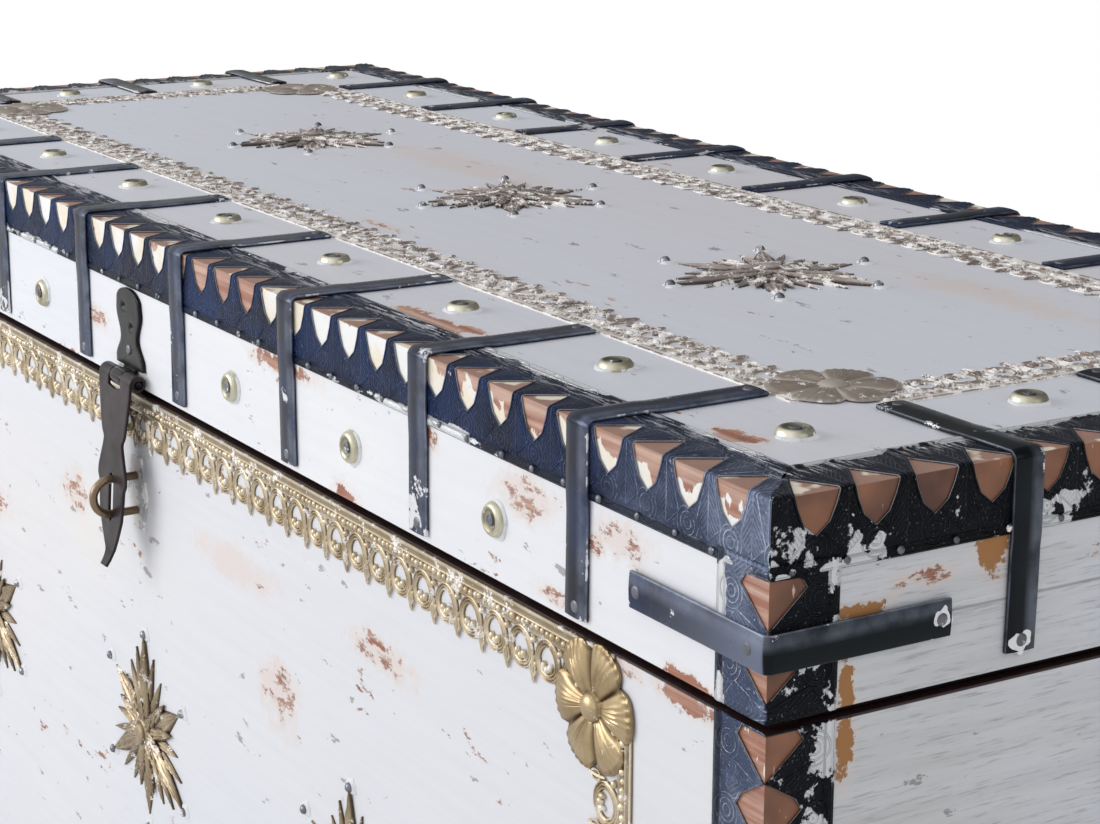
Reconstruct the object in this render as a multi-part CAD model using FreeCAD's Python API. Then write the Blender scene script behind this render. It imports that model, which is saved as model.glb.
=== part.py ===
# Dowry chest: boarded box and flat hinged lid, with pressed sheet, iron straps and brass trim.
# Millimetres. +X runs along the chest to its right end, the front faces -Y, +Z is up.
# The pieces are drawn about the middle of the case and then moved back by case_y, so that the origin
# is on the floor under the middle of the whole outline, from the staple to the hinge knuckles.
import FreeCAD, Part
import math
import os

Vector = FreeCAD.Vector
origin = Vector(0, 0, 0)
along_x = Vector(1, 0, 0)
along_y = Vector(0, 1, 0)
along_z = Vector(0, 0, 1)
quarter_turn = 90.0
half_turn = 180.0
full_turn = 360.0

# Chest
chest_length = 1356.0
chest_width = 522.0
foot_height = 50.0
body_height = 472.0
rim_height = 5.0
lid_height = 98.0
board = 20.0
body_setback = 1.0
wall_planks = 3
top_planks = 3

# Floor and feet
floor_thickness = 15.0
floor_planks = 4
cleat_height = 14.0
cleat_width = 26.0
foot_width = 94.0
foot_inset = 5.0
foot_collar = 12.0
foot_neck_width = 82.0
foot_toe_width = 68.0

# Rim moulding and inner lip
rim_setback = 4.0
rim_nose = 1.5
lip_thickness = 8.0
lip_below = 28.0
lip_above = 12.0
lip_chamfer = 2.5

# Battens under the lid
batten_count = 3
batten_width = 60.0
batten_thickness = 16.0
batten_spread_share = 0.36
batten_chamfer = 5.0

# Pressed sheet
sheet = 0.8
strip_leg = 35.0
cut_pitch = 31.7
cut_first_long = 27.0
cut_first_short = 23.0
cut_width = 23.5
cut_apex = 19.0
cut_point = 18.3
corner_leg = 36.0
corner_cut_pitch = 32.0
corner_cut_height = 22.0
corner_cut_reach = 21.0
corner_foot = 6.0

# Iron straps and corner brackets
strap_thickness = 2.0
strap_width = 18.0
strap_end_inset = 146.0
strap_count = 8
strap_reach = 99.0
strap_tail = 4.0
strap_bend = 1.4
end_strap_width = 17.0
end_strap_end_inset = 137.0
end_strap_count = 3
end_strap_reach = 93.0
end_strap_tail = 8.0
bracket_width = 17.4
bracket_drop = 58.0
bracket_front_arm = 99.6
bracket_end_arm = 95.5
bracket_ease = 1.0
bracket_corner_nail = 10.0
body_bracket_shares = (0.2, 0.8)

# Nails on straps and brackets
nail_radius = 3.3
nail_height = 2.0
nail_sides = 6
nail_inset = 5.2

# Brass studs
stud_radius = 10.0
stud_crown_radius = 7.6
stud_height = 6.4
stud_dish_radius = 3.4
stud_dish_depth = 1.6
stud_sides = 8
stud_row_inset = 68.0
stud_corner_inset = 75.0
stud_skirt_drop = 67.0
end_stud_spread = 62.0

# Brass ring border
border_side_inset = 101.0
border_end_inset = 95.0
border_rail = 12.0
border_ring = 25.0
border_width = 36.0
border_pitch = 24.8
border_ring_share = 0.56
front_border_top = 1.0
front_border_bottom = 14.0
front_border_end_inset = 101.0

# Rosettes and stars
rosette_radius = 33.0
rosette_thickness = 1.2
rosette_petals = 6
rosette_dome_radius = 9.0
rosette_dome_height = 5.0
dome_sides = 8
lid_rosette_inset = 136.0
front_rosette_inset = 132.5
front_rosette_drop = 31.0
petal_valley_share = 0.74
petal_shoulder_share = 0.95
petal_shoulder_turn_share = 0.24
star_pitch = 295.0
lid_star_shift_x = 16.0
lid_star_shift_y = 7.0
star_count = 3
star_thickness = 1.2
star_spear_radius = 66.0
star_spike_radius = 53.0
star_petal_radius = 58.0
star_valley_radius = 27.0
star_notch_radius = 36.0
star_dome_radius = 14.0
star_dome_height = 7.0
star_spike_turn = 15.0
star_notch_turn = 8.0
star_petal_turn = 14.0
star_rays = 3
front_star_height_share = 0.51

# Hasp, its pin and the staple
hasp_plate_thickness = 2.5
hasp_pin_radius = 2.0
pin_clearance = 0.05
hasp_knuckle_radius = 6.0
hasp_axis_stand = 7.0
hasp_axis_rise = 5.0
hasp_barrel_length = 50.0
hasp_tongue_width = 18.0
hasp_gap = 0.4
hasp_plate_top = 36.0
hasp_plate_foot_width = 44.0
hasp_plate_waist_width = 27.0
hasp_plate_lobe_width = 38.0
hasp_plate_swing_gap = 7.0
hasp_leaf_length = 122.0
hasp_leaf_neck_width = 28.0
hasp_leaf_belly_width = 46.0
hasp_leaf_taper_width = 26.0
hasp_leaf_tip_width = 9.0
hasp_leaf_lean = 8.0
hasp_curl = 5.0
hasp_leaf_waist_dip = 2.5
hasp_leaf_tip_dip = 1.5
leaf_level_shares = (0.32, 0.62, 0.84)
diagonal_share = math.sqrt(0.5)
outline_steps = 3
knuckle_sides = 12
hasp_slot_width = 9.5
hasp_slot_top = 59.0
hasp_slot_height = 36.0
staple_radius = 2.75
staple_half_height = 11.5
staple_reach = 33.0
staple_drop = 77.0
staple_sides = 8
staple_bends = 6
staple_plate_width = 30.0
staple_plate_height = 48.0
staple_plate_thickness = 1.5

# Lid hinges
hinge_count = 2
hinge_bays = 6
hinge_width = 60.0
hinge_leaf_height = 42.0
hinge_leaf_thickness = 2.0
hinge_knuckle_radius = 5.5
hinge_pin_radius = 2.5
hinge_swing_gap = 1.5
hinge_play = 0.3

# End handles
handle_height_share = 0.62
handle_half_span = 55.0
handle_eye_radius = 8.0
handle_eye_width = 12.0
handle_eye_flats = 6
handle_stand = 8.0
handle_plate_thickness = 2.5
handle_plate_width = 44.0
handle_plate_height = 60.0
handle_plate_point = 12.0
bail_pin_radius = 3.95
bail_bar_radius = 4.5
bail_bar_sides = 6
bail_drop = 62.0
bail_shoulder = 73.0
bail_grip_half = 63.0
bail_top_bend = 7.0
bail_grip_bend = 14.0
bail_side_gap = 0.5
bail_bend_steps = 2

# Levels and faces that follow from the sizes above
body_bottom = foot_height
body_top = body_bottom + body_height
lid_bottom = body_top + rim_height
lid_top = lid_bottom + lid_height
lid_x = chest_length / 2
lid_y = chest_width / 2
body_x = lid_x - body_setback
body_y = lid_y - body_setback
inner_x = body_x - board
inner_y = body_y - board
skirt_top = lid_top - board
strap_pitch = (chest_length - 2 * strap_end_inset) / (strap_count - 1)
end_strap_pitch = (chest_width - 2 * end_strap_end_inset) / (end_strap_count - 1)
hinge_pitch = hinge_bays * strap_pitch
hinge_axis = Vector(0, lid_y + hinge_knuckle_radius, body_top + rim_height / 2)
hasp_axis = Vector(0, -lid_y - hasp_axis_stand, lid_bottom + hasp_axis_rise)
case_y = staple_reach / 2 - hinge_knuckle_radius
handle_axis_x = body_x + handle_plate_thickness + handle_stand
handle_axis_z = body_bottom + handle_height_share * body_height


def block(x0, x1, y0, y1, z0, z1):
    """A block between two planes each way."""
    return Part.makeBox(x1 - x0, y1 - y0, z1 - z0, Vector(x0, y0, z0))


def prism(points, travel):
    """A flat outline carried along a vector."""
    return Part.Face(Part.makePolygon(points + points[:1])).extrude(travel)


def joined(first, others):
    """One solid from pieces that touch, with its flush faces made one."""
    return first.fuse(others).removeSplitter()


def moved(shape, x=0, y=0, z=0):
    """A copy that is shifted."""
    copy = shape.copy()
    copy.translate(Vector(x, y, z))
    return copy


def turned(shape, angle, axis=along_z, centre=origin):
    """A copy that is turned about an axis."""
    copy = shape.copy()
    copy.rotate(centre, axis, angle)
    return copy


def mirror_x(shape):
    return shape.mirror(origin, along_x)


def mirror_y(shape):
    return shape.mirror(origin, along_y)


def both_sides(solids, mirror):
    """The solids and their mirror images."""
    return solids + [mirror(solid) for solid in solids]


def four_corners(solid):
    return both_sides(both_sides([solid], mirror_x), mirror_y)


def spaced(count, pitch):
    """Places of a centred row."""
    return [(index - (count - 1) / 2) * pitch for index in range(count)]


def ring_point(radius, angle):
    """A point at a radius and an angle in the XY plane."""
    turn = math.radians(angle)
    return Vector(radius * math.cos(turn), radius * math.sin(turn), 0)


def regular(sides, radius, level):
    """The corners of an even outline about the Z axis."""
    points = [ring_point(radius, index * full_turn / sides) for index in range(sides)]
    return [point + Vector(0, 0, level) for point in points]


def skinned(rings):
    """A solid with flat faces between rings of as many points, closed at both ends."""
    count = len(rings[0])
    faces = [rings[0], rings[-1]]
    for low, high in zip(rings, rings[1:]):
        for index in range(count):
            after = (index + 1) % count
            faces.append([low[index], low[after], high[after], high[index]])
    shell = Part.makeShell([Part.Face(Part.makePolygon(face + face[:1])) for face in faces])
    solid = Part.makeSolid(shell)
    if solid.Volume < 0:
        solid.reverse()
    return solid


def tapered(sides, foot_radius, head_radius, height):
    """A flat-sided boss on the XY plane."""
    return skinned([regular(sides, foot_radius, 0), regular(sides, head_radius, height)])


def facing_front(solid, x, y, z):
    """A piece made flat on the XY plane, stood up to face the front at a place."""
    return moved(turned(solid, quarter_turn, along_x), x, y, z)


def facing_right(solid, x, y, z):
    """A piece made flat on the XY plane, stood up to face the right end at a place."""
    stood = turned(turned(solid, quarter_turn, along_x), quarter_turn)
    return moved(stood, x, y, z)


# Body of the chest
def plank_wall(x0, x1, y0, y1):
    """A wall of equal planks, one above another."""
    height = body_height / wall_planks
    levels = [body_bottom + index * height for index in range(wall_planks)]
    return [block(x0, x1, y0, y1, level, level + height) for level in levels]


def front_wall():
    return plank_wall(-body_x, body_x, -body_y, -inner_y)


def right_wall():
    return plank_wall(inner_x, body_x, -inner_y, inner_y)


def floor_boards():
    """Long boards side by side on the cleats."""
    width = 2 * inner_y / floor_planks
    level = body_bottom + cleat_height
    return [
        block(-inner_x, inner_x, y - width / 2, y + width / 2, level, level + floor_thickness)
        for y in spaced(floor_planks, width)
    ]


def floor_cleats():
    """Battens inside the foot of the walls, under the floor."""
    level = body_bottom + cleat_height
    long_cleat = block(-inner_x, inner_x, -inner_y, -inner_y + cleat_width, body_bottom, level)
    short_y = inner_y - cleat_width
    short_cleat = block(inner_x - cleat_width, inner_x, -short_y, short_y, body_bottom, level)
    return both_sides([long_cleat], mirror_y) + both_sides([short_cleat], mirror_x)


def feet():
    """Tapered blocks with a square collar under each corner."""
    neck = foot_height - foot_collar
    half = foot_width / 2
    collar = block(-half, half, -half, half, neck, foot_height)
    wide = foot_neck_width / 2
    toe = foot_toe_width / 2
    taper = Part.makeWedge(-toe, 0, -toe, -wide, -wide, toe, neck, toe, wide, wide)
    upright = turned(taper, quarter_turn, along_x)
    middle = foot_inset + half
    return four_corners(moved(joined(collar, [upright]), body_x - middle, body_y - middle))


def rim_mouldings():
    """Strips with a bevelled nose on the wall tops, which the lid rests on."""
    outer = rim_setback - body_y
    outline = [
        (outer + rim_nose, body_top),
        (outer, body_top + rim_nose),
        (outer, lid_bottom - rim_nose),
        (outer + rim_nose, lid_bottom),
        (-inner_y, lid_bottom),
        (-inner_y, body_top),
    ]
    run = body_x - rim_setback
    long_rim = prism([Vector(-run, y, z) for y, z in outline], Vector(2 * run, 0, 0))
    end_points = [Vector(body_x - body_y - y, -inner_y, z) for y, z in outline]
    end_rim = prism(end_points, Vector(0, 2 * inner_y, 0))
    return both_sides([long_rim], mirror_y) + both_sides([end_rim], mirror_x)


def lid_lips():
    """Inner strips that stand above the rim and keep the lid in its place."""
    low = body_top - lip_below
    high = lid_bottom + lip_above
    outline = [
        Vector(-inner_x, -inner_y, low),
        Vector(-inner_x, -inner_y + lip_thickness, low),
        Vector(-inner_x, -inner_y + lip_thickness, high),
        Vector(-inner_x, -inner_y + lip_chamfer, high),
        Vector(-inner_x, -inner_y, high - lip_chamfer),
    ]
    long_lip = prism(outline, Vector(2 * inner_x, 0, 0))
    short_y = inner_y - lip_thickness
    end_outline = [Vector(-point.y - inner_y + inner_x, -short_y, point.z) for point in outline]
    end_lip = prism(end_outline, Vector(0, 2 * short_y, 0))
    return both_sides([long_lip], mirror_y) + both_sides([end_lip], mirror_x)


# Boards of the lid
def lid_top_boards():
    width = 2 * lid_y / top_planks
    return [
        block(-lid_x, lid_x, y - width / 2, y + width / 2, skirt_top, lid_top)
        for y in spaced(top_planks, width)
    ]


def lid_front_skirt():
    return [block(-lid_x, lid_x, -lid_y, -lid_y + board, lid_bottom, skirt_top)]


def lid_right_skirt():
    reach = lid_y - board
    return [block(lid_x - board, lid_x, -reach, reach, lid_bottom, skirt_top)]


def lid_battens():
    """Cross battens with bevelled edges under the lid's boards."""
    half = batten_width / 2
    low = skirt_top - batten_thickness
    reach = lid_y - board
    outline = [
        (-half, skirt_top),
        (-half, low + batten_chamfer),
        (-half + batten_chamfer, low),
        (half - batten_chamfer, low),
        (half, low + batten_chamfer),
        (half, skirt_top),
    ]
    batten = prism([Vector(x, -reach, z) for x, z in outline], Vector(0, 2 * reach, 0))
    return [moved(batten, x) for x in spaced(batten_count, batten_spread_share * chest_length)]


# Pressed sheet with pointed cut-outs
def cut_places(run, first):
    """Middles of the cut-outs along an edge, evenly spread near the punch's pitch."""
    span = run - 2 * first
    gaps = max(round(span / cut_pitch), 1)
    return [-span / 2 + index * span / gaps for index in range(gaps + 1)]


def edge_strip(run, first, side_overlap):
    """Sheet folded over an edge that lies on the X axis, the outside at -Y, with kite cut-outs."""
    half = run / 2
    places = cut_places(run, first)
    top = [Vector(-half - sheet, -sheet, 0)]
    side = [Vector(-half - side_overlap, -sheet, 0)]
    for x in places:
        top += [
            Vector(x - cut_width / 2, -sheet, 0),
            Vector(x, cut_apex, 0),
            Vector(x + cut_width / 2, -sheet, 0),
        ]
        side += [
            Vector(x - cut_width / 2, -sheet, 0),
            Vector(x, -sheet, -cut_point),
            Vector(x + cut_width / 2, -sheet, 0),
        ]
    top += [
        Vector(half + sheet, -sheet, 0),
        Vector(half - strip_leg, strip_leg, 0),
        Vector(-half + strip_leg, strip_leg, 0),
    ]
    side += [
        Vector(half + side_overlap, -sheet, 0),
        Vector(half + side_overlap, -sheet, -strip_leg),
        Vector(-half - side_overlap, -sheet, -strip_leg),
    ]
    top_leg = prism(top, Vector(0, 0, sheet))
    side_leg = prism(side, Vector(0, sheet, 0))
    return joined(top_leg, [side_leg])


def lid_front_strip():
    return [moved(edge_strip(chest_length, cut_first_long, sheet), 0, -lid_y, lid_top)]


def lid_right_strip():
    strip = turned(edge_strip(chest_width, cut_first_short, 0), quarter_turn)
    return [moved(strip, lid_x, 0, lid_top)]


def corner_outline(height, fold):
    """One leg of a corner sheet as inward and upward places, notched along its fold."""
    notches = int((height - corner_cut_height - corner_foot) / corner_cut_pitch) + 1
    outline = [(corner_leg, -height), (corner_leg, 0)]
    for index in range(notches):
        level = -index * corner_cut_pitch
        if index:
            outline.append((fold, level))
        outline += [
            (corner_cut_reach, level),
            (fold, level - corner_cut_height),
        ]
    return outline + [(fold, -height)]


def corner_sheet(height):
    """Sheet folded round an upright corner that faces +X and -Y, its top at the origin."""
    front_points = [Vector(-inward, -sheet, z) for inward, z in corner_outline(height, -sheet)]
    end_points = [Vector(0, inward, z) for inward, z in corner_outline(height, 0)]
    front_leg = prism(front_points, Vector(0, sheet, 0))
    end_leg = prism(end_points, Vector(sheet, 0, 0))
    return joined(front_leg, [end_leg])


def lid_corner_sheets():
    folded = corner_sheet(lid_height - strip_leg)
    return four_corners(moved(folded, lid_x, -lid_y, lid_top - strip_leg))


def body_corner_sheets():
    return four_corners(moved(corner_sheet(body_height), body_x, -body_y, body_top))


# Iron straps and brackets
def strap(width, reach, drop):
    """A flat iron over an edge that lies on the X axis, its outer bend eased."""
    outer = -sheet - strap_thickness
    upper = sheet + strap_thickness
    outline = [
        Vector(0, outer, upper - strap_bend),
        Vector(0, outer + strap_bend, upper),
        Vector(0, reach, upper),
        Vector(0, reach, sheet),
        Vector(0, -sheet, sheet),
        Vector(0, -sheet, -drop),
        Vector(0, outer, -drop),
    ]
    return moved(prism(outline, Vector(width, 0, 0)), -width / 2)


def nail_head():
    """A low hammered head on the XY plane, beaten to flats that meet in a point."""
    rim = Part.makePolygon(regular(nail_sides, nail_radius, 0) + [ring_point(nail_radius, 0)])
    peak = Vector(0, 0, nail_height)
    faces = [Part.Face(rim)]
    for edge in rim.Edges:
        low, high = [vertex.Point for vertex in edge.Vertexes]
        faces.append(Part.Face(Part.makePolygon([low, high, peak, low])))
    solid = Part.makeSolid(Part.makeShell(faces))
    if solid.Volume < 0:
        solid.reverse()
    return solid


def lid_front_straps():
    iron = strap(strap_width, strap_reach, lid_height - strap_tail)
    return [moved(iron, x, -lid_y, lid_top) for x in spaced(strap_count, strap_pitch)]


def lid_right_straps():
    iron = turned(strap(end_strap_width, end_strap_reach, lid_height - end_strap_tail), quarter_turn)
    return [moved(iron, lid_x, y, lid_top) for y in spaced(end_strap_count, end_strap_pitch)]


def strap_nails():
    """A nail at both ends of every strap."""
    head = nail_head()
    proud = sheet + strap_thickness
    heads = []
    for x in spaced(strap_count, strap_pitch):
        top_y = -lid_y + strap_reach - nail_inset
        foot_z = lid_bottom + strap_tail + nail_inset
        pair = [moved(head, x, top_y, lid_top + proud), facing_front(head, x, -lid_y - proud, foot_z)]
        heads += both_sides(pair, mirror_y)
    for y in spaced(end_strap_count, end_strap_pitch):
        top_x = lid_x - end_strap_reach + nail_inset
        foot_z = lid_bottom + end_strap_tail + nail_inset
        pair = [moved(head, top_x, y, lid_top + proud), facing_right(head, lid_x + proud, y, foot_z)]
        heads += both_sides(pair, mirror_x)
    return heads


def corner_bracket():
    """A flat iron bent round an upright corner that faces +X and -Y, its top at the origin."""
    inside = sheet
    outside = sheet + strap_thickness
    outline = [
        Vector(-bracket_front_arm, -outside, 0),
        Vector(outside - bracket_ease, -outside, 0),
        Vector(outside, -outside + bracket_ease, 0),
        Vector(outside, bracket_end_arm, 0),
        Vector(inside, bracket_end_arm, 0),
        Vector(inside, -inside, 0),
        Vector(-bracket_front_arm, -inside, 0),
    ]
    return prism(outline, Vector(0, 0, -bracket_width))


def bracket_heads():
    """The four nails of a bracket, which lies as corner_bracket makes it."""
    head = nail_head()
    outside = sheet + strap_thickness
    middle = -bracket_width / 2
    front = [-bracket_front_arm + nail_inset, -bracket_corner_nail]
    end = [bracket_corner_nail, bracket_end_arm - nail_inset]
    heads = [facing_front(head, x, -outside, middle) for x in front]
    return heads + [facing_right(head, outside, y, middle) for y in end]


def body_bracket_levels():
    return [body_bottom + share * body_height + bracket_width / 2 for share in body_bracket_shares]


def lid_corner_brackets():
    return four_corners(moved(corner_bracket(), lid_x, -lid_y, lid_top - bracket_drop))


def body_corner_brackets():
    brackets = []
    for level in body_bracket_levels():
        brackets += four_corners(moved(corner_bracket(), body_x, -body_y, level))
    return brackets


def lid_bracket_nails():
    heads = []
    for head in bracket_heads():
        heads += four_corners(moved(head, lid_x, -lid_y, lid_top - bracket_drop))
    return heads


# Brass studs
def stud():
    """A domed washer with a dished middle, drawn with flats."""
    return skinned([
        regular(stud_sides, stud_radius, 0),
        regular(stud_sides, stud_crown_radius, stud_height),
        regular(stud_sides, stud_dish_radius, stud_height - stud_dish_depth),
    ])


def lid_top_studs():
    """Two long rows between the straps and a pair at each end."""
    brass = stud()
    row_y = -lid_y + stud_row_inset
    row = spaced(strap_count - 1, strap_pitch)
    row += [-lid_x + stud_corner_inset, lid_x - stud_corner_inset]
    studs = both_sides([moved(brass, x, row_y, lid_top) for x in row], mirror_y)
    end = moved(brass, lid_x - stud_row_inset, end_stud_spread, lid_top)
    return studs + four_corners(end)


def lid_front_studs():
    """Studs in the front skirt's bays, but for the hasp's."""
    brass = stud()
    height = lid_top - stud_skirt_drop
    bays = [x for x in spaced(strap_count - 1, strap_pitch) if abs(x) > strap_pitch / 2]
    return [facing_front(brass, x, -lid_y, height) for x in bays]


# Brass ring border
def border_run(length, corner):
    """A border length with its straight edge on the X axis and its pendants towards +Y."""
    half = length / 2
    toothed = length - 2 * corner
    cells = max(round(toothed / border_pitch), 1)
    pitch = toothed / cells
    valley = border_rail + border_ring_share * border_ring
    outline = [Vector(-half, 0, 0), Vector(half, 0, 0)]
    if corner:
        outline.append(Vector(half, border_width, 0))
    outline.append(Vector(half - corner, valley, 0))
    for index in reversed(range(cells)):
        x = -toothed / 2 + (index + 1 / 2) * pitch
        outline.append(Vector(x, border_width, 0))
        if index:
            outline.append(Vector(x - pitch / 2, valley, 0))
    outline.append(Vector(corner - half, valley, 0))
    if corner:
        outline.append(Vector(-half, border_width, 0))
    return prism(outline, Vector(0, 0, sheet))


def border_frame(width, height):
    """Four border lengths that make a frame round the origin, pendants inwards."""
    side = moved(border_run(width, border_width), 0, -height / 2)
    end = turned(border_run(height - 2 * border_width, 0), quarter_turn)
    return [side, turned(side, half_turn), moved(end, width / 2), turned(moved(end, width / 2), half_turn)]


def lid_border():
    frame = border_frame(2 * (lid_x - border_end_inset), 2 * (lid_y - border_side_inset))
    return [moved(length, 0, 0, lid_top) for length in frame]


def front_border():
    high = body_top - front_border_top
    low = body_bottom + front_border_bottom
    frame = border_frame(2 * (lid_x - front_border_end_inset), high - low)
    return [facing_front(length, 0, -body_y, (high + low) / 2) for length in frame]


def rosette():
    """A six-petalled plate with a raised middle."""
    step = full_turn / rosette_petals
    outline = []
    for index in range(rosette_petals):
        angle = index * step
        shoulder = petal_shoulder_turn_share * step
        outline += [
            ring_point(rosette_radius, angle - shoulder),
            ring_point(rosette_radius, angle + shoulder),
            ring_point(rosette_radius * petal_valley_share, angle + step / 2),
        ]
    plate = prism(outline, Vector(0, 0, rosette_thickness))
    dome = tapered(dome_sides, rosette_dome_radius, rosette_dome_radius / 2, rosette_dome_height)
    return joined(plate, [moved(dome, 0, 0, rosette_thickness)])


def lid_rosettes():
    flower = moved(rosette(), lid_x - lid_rosette_inset, lid_y - lid_rosette_inset, lid_top + sheet)
    return four_corners(flower)


def front_rosettes():
    """A flower on each corner of the front border."""
    high = body_top - front_rosette_drop
    low = body_bottom + front_border_bottom + front_rosette_drop - front_border_top
    x = lid_x - front_rosette_inset
    places = [(-x, high), (x, high), (-x, low), (x, low)]
    return [facing_front(rosette(), x, -body_y - sheet, z) for x, z in places]


def star(first_spear):
    """A pressed star of three spears and three petals round a raised middle."""
    step = full_turn / (2 * star_rays)
    outline = []
    for index in range(star_rays):
        spear = first_spear + 2 * index * step
        petal = spear + step
        outline += [
            ring_point(star_spike_radius, spear - star_spike_turn),
            ring_point(star_notch_radius, spear - star_notch_turn),
            ring_point(star_spear_radius, spear),
            ring_point(star_notch_radius, spear + star_notch_turn),
            ring_point(star_spike_radius, spear + star_spike_turn),
            ring_point(star_valley_radius, spear + step / 2),
            ring_point(star_petal_radius * petal_shoulder_share, petal - star_petal_turn),
            ring_point(star_petal_radius, petal),
            ring_point(star_petal_radius * petal_shoulder_share, petal + star_petal_turn),
            ring_point(star_valley_radius, petal + step / 2),
        ]
    plate = prism(outline, Vector(0, 0, star_thickness))
    dome = tapered(dome_sides, star_dome_radius, star_dome_radius / 2, star_dome_height)
    return joined(plate, [moved(dome, 0, 0, star_thickness)])


def lid_stars():
    return [
        moved(star(-quarter_turn), x + lid_star_shift_x, lid_star_shift_y, lid_top)
        for x in spaced(star_count, star_pitch)
    ]


def front_stars():
    height = body_bottom + front_star_height_share * body_height
    return [
        facing_front(star(quarter_turn), x, -body_y, height)
        for x in spaced(star_count, star_pitch)
    ]


# Hasp
def curved(start, middle, finish):
    """Places along an arc through three places given as x and z, without the last one."""
    points = [Vector(x, 0, z) for x, z in (start, middle, finish)]
    return Part.Arc(*points).toShape().discretize(outline_steps + 1)[:-1]


def mirrored_prism(right, travel):
    """A solid from the right-hand half of an outline, given from one end to the other."""
    left = [Vector(-point.x, 0, point.z) for point in reversed(right) if point.x]
    return prism(right + left, travel)


def rolled(radius, start, end):
    """A knuckle with flats along the X axis."""
    points = [Vector(start, point.x, point.y) for point in regular(knuckle_sides, radius, 0)]
    return prism(points, along_x * (end - start))


def hasp_plate():
    """The fiddle-shaped plate on the lid, with the middle knuckle under it."""
    foot = hasp_plate_swing_gap
    head = lid_top - hasp_plate_top - hasp_axis.z
    lobe = hasp_plate_lobe_width / 2
    waist = hasp_plate_waist_width / 2
    flank = hasp_plate_foot_width / 2
    lobe_height = head - lobe
    waist_height = (foot + lobe_height) / 2
    lobe_middle = (lobe * diagonal_share, lobe_height + lobe * diagonal_share)
    right = curved((flank, foot), (waist, waist_height), (lobe, lobe_height))
    right += curved((lobe, lobe_height), lobe_middle, (0, head)) + [Vector(0, 0, head)]
    plate = mirrored_prism(right, Vector(0, hasp_plate_thickness, 0))
    plate = moved(plate, 0, hasp_axis_stand - hasp_plate_thickness)
    half = hasp_tongue_width / 2
    back = hasp_axis_stand - hasp_plate_thickness
    tongue = block(-half, half, back, hasp_axis_stand, 0, foot + sheet)
    solid = joined(plate, [tongue, rolled(hasp_knuckle_radius, -half, half)]).cut(hasp_bore())
    return [moved(solid, hasp_axis.x, hasp_axis.y, hasp_axis.z)]


def hasp_bore():
    radius = hasp_pin_radius + pin_clearance
    return Part.makeCylinder(radius, 2 * hasp_barrel_length, Vector(-hasp_barrel_length, 0, 0), along_x)


def hasp_pin():
    length = hasp_barrel_length + 2 * hasp_gap
    pin = Part.makeCylinder(hasp_pin_radius, length, Vector(-length / 2, 0, 0), along_x)
    return [moved(pin, hasp_axis.x, hasp_axis.y, hasp_axis.z)]


def hasp_leaf():
    """The swinging leaf: its outline seen from the front, crossed with its bent side view."""
    barrel = hasp_barrel_length / 2
    neck = hasp_leaf_neck_width / 2
    belly = hasp_leaf_belly_width / 2
    taper = hasp_leaf_taper_width / 2
    tip = hasp_leaf_tip_width / 2
    length = hasp_leaf_length
    neck_z, belly_z, taper_z = [-share * length for share in leaf_level_shares]
    waist_middle = ((barrel + neck) / 2 - hasp_leaf_waist_dip, neck_z / 2)
    tip_middle = ((taper + tip) / 2 - hasp_leaf_tip_dip, (taper_z - length) / 2)
    right = curved((barrel, 0), waist_middle, (neck, neck_z))
    right += curved((neck, neck_z), (belly, belly_z), (taper, taper_z))
    right += curved((taper, taper_z), tip_middle, (tip, -length)) + [Vector(tip, 0, -length)]
    depth = 2 * (hasp_leaf_lean + hasp_curl + hasp_knuckle_radius)
    front_view = mirrored_prism(right, Vector(0, -depth, 0))
    radius = hasp_knuckle_radius
    thick = hasp_plate_thickness
    bend_z = hasp_curl * 2 - length
    side_points = [
        Vector(-barrel, -radius, 0),
        Vector(-barrel, -radius - hasp_leaf_lean, bend_z),
        Vector(-barrel, -radius - hasp_leaf_lean - hasp_curl, -length),
        Vector(-barrel, thick - radius - hasp_leaf_lean - hasp_curl, -length),
        Vector(-barrel, thick - radius - hasp_leaf_lean, bend_z),
        Vector(-barrel, thick - radius, 0),
    ]
    side_view = prism(side_points, Vector(2 * barrel, 0, 0))
    leaf = front_view.common(side_view)
    roll = rolled(radius, -barrel, barrel)
    gap_half = hasp_tongue_width / 2 + hasp_gap
    clear = radius + hasp_gap
    gap = block(-gap_half, gap_half, -clear, clear, -clear, clear)
    slot_half = hasp_slot_width / 2
    slot_foot = -hasp_slot_top - hasp_slot_height
    slot = block(-slot_half, slot_half, -depth, 0, slot_foot, -hasp_slot_top)
    solid = joined(leaf, [roll]).cut(gap).cut(hasp_bore()).cut(slot)
    return [moved(solid, hasp_axis.x, hasp_axis.y, hasp_axis.z)]


def bar_along(points, radius, sides):
    """A forged bar with flats along a route in the YZ plane, mitred at each of its points."""
    rings = []
    for index, point in enumerate(points):
        before = point - points[index - 1] if index else points[1] - point
        after = points[index + 1] - point if index + 1 < len(points) else before
        square_before = Vector(0, -before.z, before.y).normalize()
        square_after = Vector(0, -after.z, after.y).normalize()
        mitre = (square_before + square_after).normalize()
        stretch = radius / mitre.dot(square_before)
        turns = [math.radians((side + 1 / 2) * full_turn / sides) for side in range(sides)]
        rings.append([
            point + mitre * (stretch * math.cos(turn)) + along_x * (radius * math.sin(turn))
            for turn in turns
        ])
    return skinned(rings)


def staple_height():
    return hasp_axis.z - staple_drop


def staple():
    """A bar bent into a loop, with both its feet on the back plate."""
    face_y = -body_y - staple_plate_thickness
    bend_y = -lid_y - staple_reach + staple_half_height + staple_radius
    route = [Vector(0, face_y, staple_half_height)]
    for index in range(staple_bends + 1):
        turn = math.radians(half_turn * index / staple_bends)
        out = staple_half_height * math.sin(turn)
        route.append(Vector(0, bend_y - out, staple_half_height * math.cos(turn)))
    route.append(Vector(0, face_y, -staple_half_height))
    return [moved(bar_along(route, staple_radius, staple_sides), 0, 0, staple_height())]


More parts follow.
